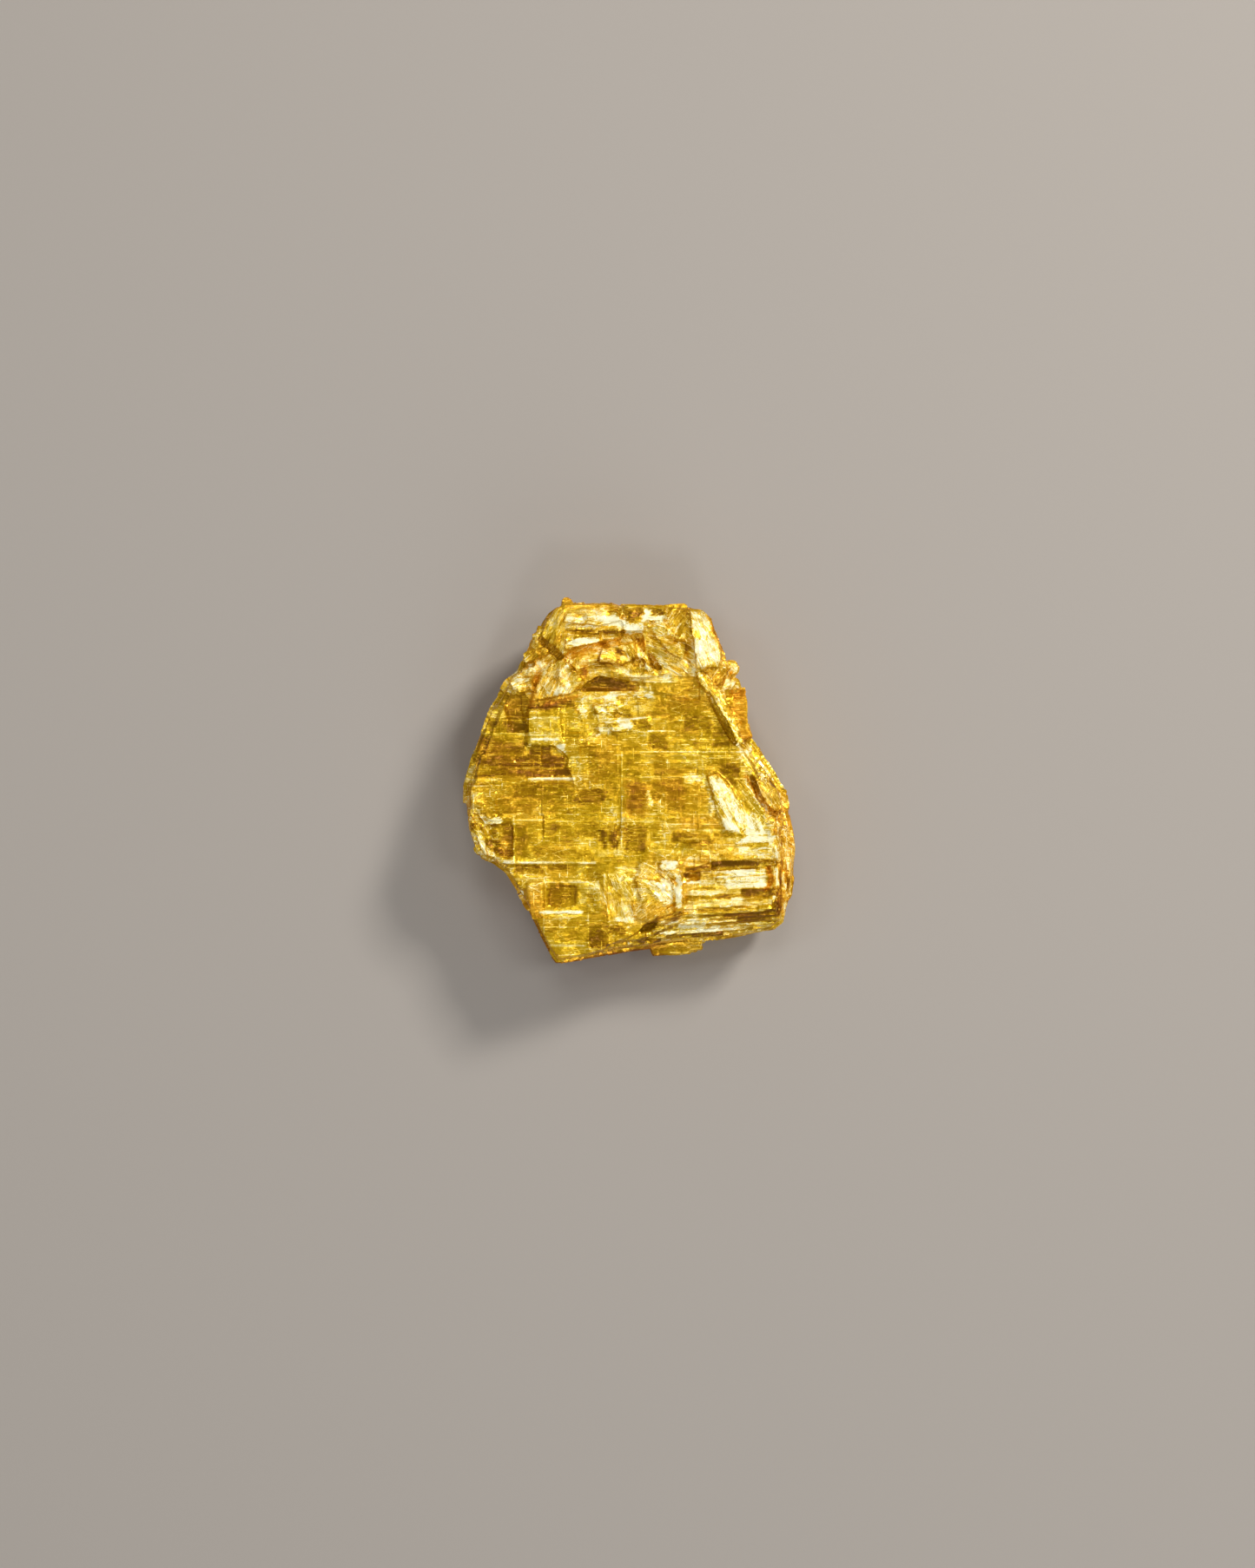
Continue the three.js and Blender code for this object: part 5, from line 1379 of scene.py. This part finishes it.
def new_group(name: str, inputs: dict[str, tuple[str, object]],
              outputs: dict[str, str]) -> tuple[Graph, bpy.types.Node, bpy.types.Node]:
    """Starts a shader node group.

    Args:
        name: the group's name.
        inputs: each input's kind of socket and default value, by its name.
        outputs: each output's kind of socket, by its name.

    Returns:
        The group's graph, its input node and its output node.
    """
    tree = bpy.data.node_groups.new(name, "ShaderNodeTree")
    for label, (kind, value) in inputs.items():
        socket = tree.interface.new_socket(name=label, in_out="INPUT", socket_type=kind)
        if value is not None:
            socket.default_value = value
    for label, kind in outputs.items():
        tree.interface.new_socket(name=label, in_out="OUTPUT", socket_type=kind)
    graph = Graph(tree)
    return graph, graph.node("NodeGroupInput"), graph.node("NodeGroupOutput")


@dataclass(frozen=True)
class SharedEffects:
    """The node groups that both finishes use."""

    traces: bpy.types.NodeTree
    patches: bpy.types.NodeTree
    streaks: bpy.types.NodeTree
    # painted shading of crumpled facets, with painted rim highlights
    wrinkles: bpy.types.NodeTree
    painted_sparkle: bpy.types.NodeTree
    tones: bpy.types.NodeTree

    @classmethod
    def make(cls) -> SharedEffects:
        """Builds the groups once."""
        return cls(cls._traces(), cls._patches(), cls._streaks(), cls._painted_fold_shading(),
                   cls._painted_sparkle(), cls._tones())

    @staticmethod
    def _traces() -> bpy.types.NodeTree:
        """Builds broken straight hairlines along the grain, one to a row at most."""
        number = "NodeSocketFloat"
        g, inside, outside = new_group(
            "cleavage_traces",
            {"Along": (number, 0.0), "Across": (number, 0.0), "Rows": (number, 3.0),
             "Width": (number, 0.2), "Breaks": (number, 0.5), "Cover": (number, 0.4),
             "Seed": (number, 0.0)},
            {"Mask": number})
        rows = g.math("MULTIPLY", inside.outputs["Across"], inside.outputs["Rows"])
        row = g.math("ADD", g.math("FLOOR", rows), inside.outputs["Seed"])
        within = g.math("FRACT", rows)
        own = g.random(row)
        middle = g.ramp(g.random(g.math("ADD", row, 57.3)), 0.0, 1.0, 0.3, 0.7)
        gap = g.math("ABSOLUTE", g.math("SUBTRACT", within, middle))
        line = g.math("SUBTRACT", 1.0, g.math("DIVIDE", gap, inside.outputs["Width"]), clamp=True)
        breaks = g.node("ShaderNodeTexNoise", noise_dimensions="1D")
        g.feed(breaks.inputs["W"], g.scaled(inside.outputs["Along"], inside.outputs["Breaks"],
                                            g.math("MULTIPLY", own, 911.0)))
        breaks.inputs["Scale"].default_value = 1.0
        breaks.inputs["Detail"].default_value = 2.0
        breaks.inputs["Roughness"].default_value = 0.6
        edge = g.ramp(inside.outputs["Cover"], 0.0, 1.0, 0.72, 0.28)
        shown = g.math("MULTIPLY", g.math("SUBTRACT", breaks.outputs[0], edge), 14.0, clamp=True)
        strength = g.scaled(own, 0.7, 0.3)
        g.feed(outside.inputs["Mask"], g.math("MULTIPLY", g.math("MULTIPLY", line, shown),
                                              strength))
        return g.tree

    @staticmethod
    def _patches() -> bpy.types.NodeTree:
        """Builds small rectangular patches, each with a random shade and a tilt."""
        number = "NodeSocketFloat"
        g, inside, outside = new_group(
            "cleavage_patches",
            {"Along": (number, 0.0), "Across": (number, 0.0), "Length": (number, 1.0),
             "Height": (number, 0.4), "Seed": (number, 0.0)},
            {"Shade": number, "Tilt": number})
        rows = g.math("DIVIDE", inside.outputs["Across"], inside.outputs["Height"])
        row = g.math("FLOOR", rows)
        up = g.math("SUBTRACT", g.math("FRACT", rows), 0.5)
        own = g.random(g.math("ADD", row, inside.outputs["Seed"]))
        length = g.math("MULTIPLY", inside.outputs["Length"], g.ramp(own, 0.0, 1.0, 0.6, 1.9))
        columns = g.math("ADD", g.math("DIVIDE", inside.outputs["Along"], length),
                         g.math("MULTIPLY", own, 37.0))
        column = g.math("FLOOR", columns)
        across = g.math("SUBTRACT", g.math("FRACT", columns), 0.5)
        made = g.node("ShaderNodeTexWhiteNoise", noise_dimensions="1D")
        g.feed(made.inputs["W"], g.scaled(column, 7.31, g.math("MULTIPLY", own, 517.0)))
        red, green, _ = g.parts(made.outputs["Color"])
        tilt = g.math("ADD",
                      g.math("MULTIPLY", across, g.math("SUBTRACT", red, 0.5)),
                      g.math("MULTIPLY", up, g.math("SUBTRACT", green, 0.5)))
        g.feed(outside.inputs["Shade"], made.outputs["Value"])
        g.feed(outside.inputs["Tilt"], tilt)
        return g.tree

    @staticmethod
    def _streaks() -> bpy.types.NodeTree:
        """Builds a streaky grain along X, a fine grain and a slow cloudiness, each round 0."""
        number = "NodeSocketFloat"
        g, inside, outside = new_group(
            "streaky_grain", {"Place": ("NodeSocketVector", None)},
            {"Streak": number, "Fine": number, "Cloud": number, "Slow": number})
        place = inside.outputs["Place"]
        for name, stretch, scale, detail in (
                ("Streak", (0.4, 2.6, 1.0), 1.0, 4.0), ("Fine", (0.8, 1.3, 1.0), 5.0, 3.0),
                ("Cloud", (0.35, 0.6, 0.5), 1.0, 4.0), ("Slow", (0.11, 0.16, 0.13), 1.0, 2.0)):
            pattern = g.noise(g.stretched(place, stretch), scale, detail, 0.62)
            g.feed(outside.inputs[name], g.math("SUBTRACT", pattern, 0.5))
        return g.tree

    @staticmethod
    def _painted_fold_shading() -> bpy.types.NodeTree:
        """Builds painted shading of crumpled foil: facets of random shade, stronger towards their
        rims, with painted highlights along the rims.
        """
        number = "NodeSocketFloat"
        g, inside, outside = new_group(
            "painted_fold_shading",
            {"Place": ("NodeSocketVector", None), "Scale": (number, 1.5), "Width": (number, 0.08)},
            {"Facet": number, "Rim": number})
        rims = g.node("ShaderNodeTexVoronoi", feature="DISTANCE_TO_EDGE",
                      voronoi_dimensions="2D")
        cells = g.node("ShaderNodeTexVoronoi", feature="F1", voronoi_dimensions="2D")
        for texture in (rims, cells):
            g.feed(texture.inputs["Vector"], inside.outputs["Place"])
            g.feed(texture.inputs["Scale"], inside.outputs["Scale"])
        rim = g.math("SUBTRACT", 1.0, g.math("DIVIDE", rims.outputs["Distance"],
                                             inside.outputs["Width"]), clamp=True)
        red, _, _ = g.parts(cells.outputs["Color"])
        shade = g.math("SUBTRACT", red, 0.5)
        g.feed(outside.inputs["Facet"], g.scaled(cells.outputs["Distance"], shade, shade))
        g.feed(outside.inputs["Rim"], rim)
        return g.tree

    @staticmethod
    def _painted_sparkle() -> bpy.types.NodeTree:
        """Builds scattered bright specks, painted glints."""
        number = "NodeSocketFloat"
        g, inside, outside = new_group(
            "painted_sparkle",
            {"Place": ("NodeSocketVector", None), "Scale": (number, 4.0), "Share": (number, 0.1)},
            {"Mask": number})
        cells = g.node("ShaderNodeTexVoronoi", feature="F1")
        g.feed(cells.inputs["Vector"], g.stretched(inside.outputs["Place"], (0.75, 1.2, 1.0)))
        g.feed(cells.inputs["Scale"], inside.outputs["Scale"])
        own, _, _ = g.parts(cells.outputs["Color"])
        chosen = g.math("GREATER_THAN", own, g.math("SUBTRACT", 1.0, inside.outputs["Share"]))
        speck = g.ramp(cells.outputs["Distance"], 0.12, 0.42, 1.0, 0.0)
        g.feed(outside.inputs["Mask"], g.math("MULTIPLY", chosen, speck))
        return g.tree

    @staticmethod
    def _tones() -> bpy.types.NodeTree:
        """Builds the colour of the mineral for a tone and a warmth."""
        g, inside, outside = new_group(
            "orpiment_tones",
            {"Tone": ("NodeSocketFloat", 0.5), "Warmth": ("NodeSocketFloat", 0.5)},
            {"Color": "NodeSocketColor"})
        ramps = []
        for stops in (GOLDEN_TONES, ORANGE_TONES):
            ramp = g.node("ShaderNodeValToRGB")
            g.feed(ramp.inputs[0], inside.outputs["Tone"])
            elements = ramp.color_ramp.elements
            while len(elements) < len(stops):
                elements.new(0.5)
            for element, (position, colour) in zip(elements, stops):
                element.position = position
                element.color = colour
            ramps.append(ramp.outputs["Color"])
        warmth = g.math("ADD", inside.outputs["Warmth"], 0.0, clamp=True)
        g.feed(outside.inputs["Color"], g.mix(warmth, *ramps))
        return g.tree


def mm_places(g: Graph) -> bpy.types.NodeSocket:
    """Gives places on the piece in millimetres."""
    made = g.node("ShaderNodeTexCoord")
    return g.stretched(made.outputs["Object"], (MM_PER_METRE,) * 3)


GOLDEN_TONES: tuple[tuple[float, Colour], ...] = (
    (0.0, (0.18, 0.075, 0.001, 1.0)),
    (0.15, (0.32, 0.160, 0.001, 1.0)),
    (0.30, (0.48, 0.275, 0.002, 1.0)),
    (0.45, (0.67, 0.415, 0.007, 1.0)),
    (0.60, (0.82, 0.575, 0.064, 1.0)),
    (0.72, (0.885, 0.70, 0.195, 1.0)),
    (0.82, (0.935, 0.81, 0.355, 1.0)),
    (0.91, (0.97, 0.90, 0.505, 1.0)),
    (1.0, (1.0, 0.96, 0.65, 1.0)),
)
ORANGE_TONES: tuple[tuple[float, Colour], ...] = (
    (0.0, (0.20, 0.040, 0.004, 1.0)),
    (0.15, (0.33, 0.100, 0.005, 1.0)),
    (0.30, (0.50, 0.185, 0.006, 1.0)),
    (0.45, (0.68, 0.295, 0.010, 1.0)),
    (0.60, (0.86, 0.43, 0.022, 1.0)),
    (0.72, (0.97, 0.56, 0.06, 1.0)),
    (0.82, (1.0, 0.69, 0.14, 1.0)),
    (0.91, (1.0, 0.81, 0.26, 1.0)),
    (1.0, (1.0, 0.90, 0.48, 1.0)),
)


@dataclass(frozen=True)
class Lustre:
    """The gloss of a finish, the same all over its surface."""

    metallic: float
    ior: float
    coat: float
    coat_roughness: float

    def give(self, shader: bpy.types.Node) -> None:
        """Sets the gloss on a shader."""
        shader.inputs["Metallic"].default_value = self.metallic
        shader.inputs["IOR"].default_value = self.ior
        shader.inputs["Specular IOR Level"].default_value = 0.25
        shader.inputs["Coat Weight"].default_value = self.coat
        shader.inputs["Coat Roughness"].default_value = self.coat_roughness


def add_bump(g: Graph, shader: bpy.types.Node, height: object) -> None:
    """Gives a shader a bump.

    Args:
        g: the material's graph.
        shader: the shader.
        height: the height in millimetres.
    """
    bump = g.node("ShaderNodeBump")
    bump.inputs["Strength"].default_value = 1.0
    bump.inputs["Distance"].default_value = METRES_PER_MM
    g.feed(bump.inputs["Height"], height)
    g.feed(shader.inputs["Normal"], bump.outputs["Normal"])


@dataclass(frozen=True)
class CleavageFinish:
    """The pearly finish of cleavage faces, with traces, windows, painted highlights on the bright
    breaks and painted shade.
    """

    effects: SharedEffects
    lustre: Lustre = Lustre(metallic=0.42, ior=1.4, coat=0.0, coat_roughness=0.08)
    base_tone: float = 0.42
    roughness: float = 0.16
    glow: float = 0.045

    def make(self) -> bpy.types.Material:
        """Builds the material.

        Returns:
            The finish for cleavage faces.
        """
        material = bpy.data.materials.new("orpiment_cleavage")
        material.use_nodes = True
        g = Graph(material.node_tree)
        shader = g.tree.nodes["Principled BSDF"]
        place = mm_places(g)
        _, _, z = g.split(place)
        x, level = g.mask(Tint.ALONG), g.mask(Tint.BEDDING)
        grain = g.group(self.effects.streaks, Place=g.join(x, level, z)).outputs
        cross = g.group(self.effects.streaks, Place=g.join(level, x, z)).outputs
        patches = g.group(self.effects.patches, Along=x, Across=level, Length=0.9,
                          Height=0.36).outputs
        bright = self._hairlines(g, x, level, 0.0)
        dark = g.group(self.effects.traces, Along=x, Across=level, Rows=3.1, Width=0.16,
                       Breaks=0.5, Cover=0.4, Seed=700.0).outputs[0]
        streak = g.scaled(cross["Streak"], 0.4, grain["Streak"])
        prominent = self._prominent(g, streak)
        crush = g.mask(Tint.CRUSH)
        bent = g.join(g.total((0.55, x), (0.2, grain["Fine"]), (0.5, cross["Streak"])),
                      g.total((1.35, level), (0.2, cross["Fine"]), (0.5, cross["Cloud"])), 0.0)
        # painted light and shade of crumpled facets, with painted highlights along their rims;
        # strongest where crushed
        coarse = g.group(self.effects.wrinkles, Place=bent, Scale=1.3, Width=0.07).outputs
        fine = g.group(self.effects.wrinkles, Place=bent, Scale=3.3, Width=0.1).outputs
        facets = g.total((0.26, coarse["Facet"]), (0.22, fine["Facet"]), (0.14, coarse["Rim"]),
                         (0.2, fine["Rim"]), (1.0, -0.05))
        folded_facet_shading = g.math("MULTIPLY", facets, g.scaled(crush, 0.5, 0.2))
        shown = g.ramp(g.scaled(streak, 0.5, cross["Cloud"]), -0.1, 0.12)
        rim_highlights = g.math("MULTIPLY", g.scaled(fine["Rim"], 0.7, coarse["Rim"]), shown)
        # tone: the mineral's own tone, window tones and traces, with painted light: facet shading,
        # rim highlights, painted shadows and highlights from the masks, and a paler sheen where
        # crushed
        tone = g.total(
            (1.0, folded_facet_shading), (0.26, rim_highlights),
            (1.0, self.base_tone), (0.21, grain["Cloud"]), (0.14, streak), (0.34, grain["Fine"]),
            (0.34, g.mask(Tint.SHADE)), (0.12, patches["Shade"]), (1.0, -0.23),
            (1.0, g.mask(Tint.PANE_AND_PAINTED_LIGHT)),
            (0.42, bright), (-0.2, dark), (0.55, prominent),
            (0.1, crush), (0.8, g.mask(Tint.BANDS)))
        fray = g.total((1.0, streak), (0.8, grain["Fine"]), (0.5, facets),
                       (0.8, g.mask(Tint.BANDS)))
        # deep lowers the tone in deep windows and painted shade; lit raises it in painted highlights
        deep = g.ramp(g.scaled(fray, 1.5, g.mask(Tint.DEPTH_AND_SHADE)), 0.1, 1.0)
        lit = g.ramp(g.scaled(fray, 1.3, g.mask(Tint.PAINTED_HIGHLIGHT)), 0.2, 1.0)
        tone = g.total((1.0, tone), (-0.3, deep), (0.34, lit))
        warmth = g.total((1.0, 0.15), (1.6, grain["Slow"]), (0.8, grain["Cloud"]),
                         (0.9, g.mask(Tint.RUST_AND_SHADE)), (-0.2, lit))
        colour = g.group(self.effects.tones, Tone=tone, Warmth=warmth).outputs[0]
        g.feed(shader.inputs["Base Color"], colour)
        rough = g.total((1.0, self.roughness), (0.3, grain["Fine"]), (0.3, grain["Cloud"]),
                        (0.05, crush))
        g.feed(shader.inputs["Roughness"], rough)
        g.feed(shader.inputs["Metallic"], g.ramp(tone, 0.5, 0.95, self.lustre.metallic, 0.16))
        height = g.total((0.05, patches["Tilt"]), (0.022, grain["Streak"]),
                         (0.02, cross["Streak"]), (0.022, grain["Fine"]), (0.012, bright),
                         (-0.014, dark), (0.02, prominent),
                         (0.03, g.math("MULTIPLY", coarse["Facet"], crush)))
        height = g.math("MULTIPLY", height, g.scaled(crush, 0.8, 1.0))
        add_bump(g, shader, height)
        # painted glow: a faint golden emission that lifts the shadows, standing in for light passing
        # through the crystal
        shader.inputs["Emission Color"].default_value = (0.85, 0.47, 0.012, 1.0)
        shader.inputs["Emission Strength"].default_value = self.glow
        self.lustre.give(shader)
        return material

    def _hairlines(self, g: Graph, along: object, level: object,
                   seed: float) -> bpy.types.NodeSocket:
        """Adds the bright hairlines along and across the bedding.

        Args:
            g: the material's graph.
            along: how far along the grain a place is.
            level: how far across it the place is.
            seed: which lines are drawn.

        Returns:
            The lines' mask.
        """
        result: object = None
        for number, (first, second, rows, width, breaks, cover) in enumerate((
                (along, level, 1.7, 0.1, 0.3, 0.45), (along, level, 5.5, 0.24, 0.9, 0.42),
                (level, along, 1.5, 0.08, 0.4, 0.3), (level, along, 5.0, 0.2, 1.0, 0.26))):
            line = g.group(self.effects.traces, Along=first, Across=second, Rows=rows,
                           Width=width, Breaks=breaks, Cover=cover,
                           Seed=seed + 100.0 * number).outputs[0]
            result = line if result is None else g.math("MAXIMUM", result, line)
        return result

    def _prominent(self, g: Graph, fray: object) -> bpy.types.NodeSocket:
        """Adds the prominent traces: cleavage traces, painted highlights along ledge edges and
        painted shade in grooves.

        Args:
            g: the material's graph.
            fray: a streaky pattern that breaks the lines up.

        Returns:
            The lines, negative where they are dark.
        """
        lines = []
        for gap, strength in ((Tint.LEVEL_GAP, Tint.LEVEL_LINE), (Tint.UPRIGHT_GAP,
                                                                  Tint.UPRIGHT_LINE)):
            near = g.math("SUBTRACT", 1.0, g.math("ABSOLUTE", g.mask(gap)), clamp=True)
            lines.append((1.0, g.math("MULTIPLY", near, g.mask(strength))))
        return g.math("MULTIPLY", g.total(*lines), g.ramp(fray, -0.3, 0.15, 0.3, 1.0))


@dataclass(frozen=True)
class LayeredEdgeFinish:
    """The finish of the slab's sides, where the edges of the lamellae show as fine lines."""

    effects: SharedEffects
    lustre: Lustre = Lustre(metallic=0.3, ior=1.45, coat=0.0, coat_roughness=0.2)
    base_tone: float = 0.5
    roughness: float = 0.24
    glow: float = 0.04

    def make(self) -> bpy.types.Material:
        """Builds the material.

        Returns:
            The finish for the layered sides.
        """
        material = bpy.data.materials.new("orpiment_layered_edge")
        material.use_nodes = True
        g = Graph(material.node_tree)
        shader = g.tree.nodes["Principled BSDF"]
        place = mm_places(g)
        x, y, _ = g.split(place)
        along, z = g.math("ADD", x, y), g.mask(Tint.LAYER)
        layered = g.join(along, z, g.math("SUBTRACT", x, y))
        grain = g.group(self.effects.streaks, Place=layered).outputs
        traces = self.effects.traces
        wavy = g.scaled(grain["Cloud"], 0.3, z)
        bright = g.group(traces, Along=along, Across=wavy, Rows=7.0, Width=0.3, Breaks=0.4,
                         Cover=0.5).outputs[0]
        dark = g.group(traces, Along=along, Across=wavy, Rows=4.3, Width=0.2, Breaks=0.3,
                       Cover=0.5, Seed=50.0).outputs[0]
        patches = g.group(self.effects.patches, Along=along, Across=z, Length=1.3, Height=0.2,
                          Seed=5.0).outputs
        # painted glints on the layered sides; the painted highlight and painted shade masks also
        # lift and lower the sides' tone
        specks = g.group(self.effects.painted_sparkle, Place=layered, Scale=4.0, Share=0.08).outputs[0]
        tone = g.total(
            (1.0, self.base_tone), (0.5, grain["Cloud"]), (0.6, grain["Streak"]),
            (0.5, grain["Fine"]), (0.2, g.mask(Tint.SHADE)), (0.16, patches["Shade"]),
            (1.0, -0.18), (0.18, bright), (-0.18, dark), (0.2, specks),
            (0.42, g.mask(Tint.PAINTED_HIGHLIGHT)), (-0.34, g.mask(Tint.DEPTH_AND_SHADE)))
        warmth = g.total((1.0, 0.72), (1.5, grain["Slow"]), (1.2, grain["Cloud"]),
                         (0.9, g.mask(Tint.RUST_AND_SHADE)))
        colour = g.group(self.effects.tones, Tone=tone, Warmth=warmth).outputs[0]
        g.feed(shader.inputs["Base Color"], colour)
        rough = g.total((1.0, self.roughness), (0.4, grain["Fine"]), (0.2, grain["Streak"]))
        g.feed(shader.inputs["Roughness"], rough)
        add_bump(g, shader, g.total((0.05, patches["Tilt"]), (0.03, grain["Streak"]),
                                    (0.025, grain["Fine"]), (0.02, bright), (-0.03, dark)))
        # painted glow: a faint orange emission that lifts the shadows, standing in for light passing
        # through the crystal
        shader.inputs["Emission Color"].default_value = (0.8, 0.35, 0.01, 1.0)
        shader.inputs["Emission Strength"].default_value = self.glow
        self.lustre.give(shader)
        return material


# ------------------------------------------------------------------------------ the specimen


@dataclass
class Specimen:
    """The dressed slab."""

    mesh: SlabMesh = field(default_factory=SlabMesh)
    side_below: float = 0.55
    rim_depth: float = 0.9
    rim_above: float = 6.2

    def build(self, node: bpy.types.Object) -> bpy.types.Object:
        """Builds the slab and dresses it.

        Args:
            node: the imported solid.

        Returns:
            The finished slab.
        """
        slab = self.mesh.build(node)
        effects = SharedEffects.make()
        slab.data.materials.clear()
        slab.data.materials.append(CleavageFinish(effects).make())
        slab.data.materials.append(LayeredEdgeFinish(effects).make())
        normals = np.zeros(len(slab.data.polygons) * 3)
        slab.data.polygons.foreach_get("normal", normals)
        centres = np.zeros(len(slab.data.polygons) * 3)
        slab.data.polygons.foreach_get("center", centres)
        centres = centres.reshape(-1, 3) * MM_PER_METRE
        inner = (depth_from_rim(centres[:, :2]) > self.rim_depth) & (centres[:, 2] > self.rim_above)
        upright = (np.abs(normals.reshape(-1, 3)[:, 2]) < self.side_below) & ~inner
        slab.data.polygons.foreach_set("material_index", upright.astype(np.int32))
        slab.data.update()
        return slab


# ------------------------------------------------------------------------------ the studio


@dataclass(frozen=True)
class SoftLight:
    """A square soft light that looks at the specimen."""

    name: str
    direction: tuple[float, float, float]
    distance: float
    size: float
    power: float
    colour: tuple[float, float, float] = (1.0, 1.0, 1.0)

    def hang(self, target: Vector) -> bpy.types.Object:
        """Hangs the light in its place.

        Args:
            target: what the light looks at.

        Returns:
            The light.
        """
        lamp = bpy.data.lights.new(self.name, "AREA")
        lamp.size = self.size
        lamp.energy = self.power
        lamp.color = self.colour
        light = bpy.data.objects.new(self.name, lamp)
        light.location = target + Vector(self.direction).normalized() * self.distance
        light.rotation_euler = (light.location - target).to_track_quat("Z", "Y").to_euler()
        bpy.context.scene.collection.objects.link(light)
        return light


@dataclass
class Studio:
    """The pale floor, the lights and the camera."""

    floor_radius: float = 3.0
    floor_colour: Colour = (0.385, 0.352, 0.32, 1.0)
    surround: Colour = (0.5, 0.49, 0.48, 1.0)
    surround_strength: float = 0.34
    lens: float = 70.0
    sensor: float = 36.0
    camera_height: float = 0.2503
    camera_place: Point = (-0.00014, -0.00016)
    lights: tuple[SoftLight, ...] = (
        SoftLight("key", (0.62, 0.62, 0.66), 0.5, 0.1, 1.85, (1.0, 0.97, 0.92)),
        SoftLight("fill", (-0.8, -0.3, 0.7), 0.6, 0.5, 0.22),
        SoftLight("glint_right", (0.45, 0.1, 1.0), 0.5, 0.11, 0.28),
        SoftLight("glint_top", (-0.05, 0.42, 1.0), 0.5, 0.14, 0.35),
        SoftLight("glint_left", (-0.5, 0.2, 1.0), 0.5, 0.09, 0.16),
        SoftLight("glint_low", (0.15, -0.55, 1.0), 0.5, 0.08, 0.26),
        SoftLight("fill_low", (0.4, -0.9, 0.6), 0.6, 0.35, 0.5),
    )

    def build(self, target: Vector) -> None:
        """Builds the studio around the specimen.

        Args:
            target: the middle of the specimen.
        """
        self._floor()
        for light in self.lights:
            light.hang(target)
        self._surround()
        self._camera()

    def _floor(self) -> None:
        """Lays a wide plain floor under the specimen."""
        disc = bmesh.new()
        bmesh.ops.create_circle(disc, cap_ends=True, segments=96, radius=self.floor_radius)
        mesh = bpy.data.meshes.new("floor")
        disc.to_mesh(mesh)
        disc.free()
        floor = bpy.data.objects.new("floor", mesh)
        bpy.context.scene.collection.objects.link(floor)
        material = bpy.data.materials.new("plain_floor")
        material.use_nodes = True
        shader = material.node_tree.nodes["Principled BSDF"]
        shader.inputs["Base Color"].default_value = self.floor_colour
        shader.inputs["Roughness"].default_value = 0.8
        mesh.materials.append(material)

    def _surround(self) -> None:
        """Fills the room with plain grey light."""
        world = bpy.data.worlds.new("surround")
        world.use_nodes = True
        background = world.node_tree.nodes["Background"]
        background.inputs["Color"].default_value = self.surround
        background.inputs["Strength"].default_value = self.surround_strength
        bpy.context.scene.world = world

    def _camera(self) -> None:
        """Hangs the camera over the specimen, looking straight down with +Y up."""
        lens = bpy.data.cameras.new("camera")
        lens.lens = self.lens
        lens.sensor_width = self.sensor
        lens.sensor_fit = "VERTICAL"
        lens.sensor_height = self.sensor
        camera = bpy.data.objects.new("camera", lens)
        camera.location = (*self.camera_place, self.camera_height)
        bpy.context.scene.collection.objects.link(camera)
        bpy.context.scene.camera = camera


# ------------------------------------------------------------------------------ the whole


def main() -> None:
    """Loads the frame, builds the specimen and the studio, and logs the slab's triangle count."""
    logging.basicConfig(level=logging.INFO, format="%(name)s: %(message)s")
    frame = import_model()
    slab = Specimen().build(frame["nodes"][SLAB_NODE])
    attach(slab, SLAB_BODY)
    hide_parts(SLAB_NODE)
    faces = sum(len(polygon.vertices) - 2 for polygon in slab.data.polygons)
    LOG.info("%s: %d triangles", slab.name, faces)
    low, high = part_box(SLAB_NODE)
    Studio().build((low + high) / 2)
    LOG.info("studio: floor, lights and camera")
    scene = bpy.context.scene
    scene.view_settings.view_transform = "Standard"


if __name__ == "__main__":
    main()
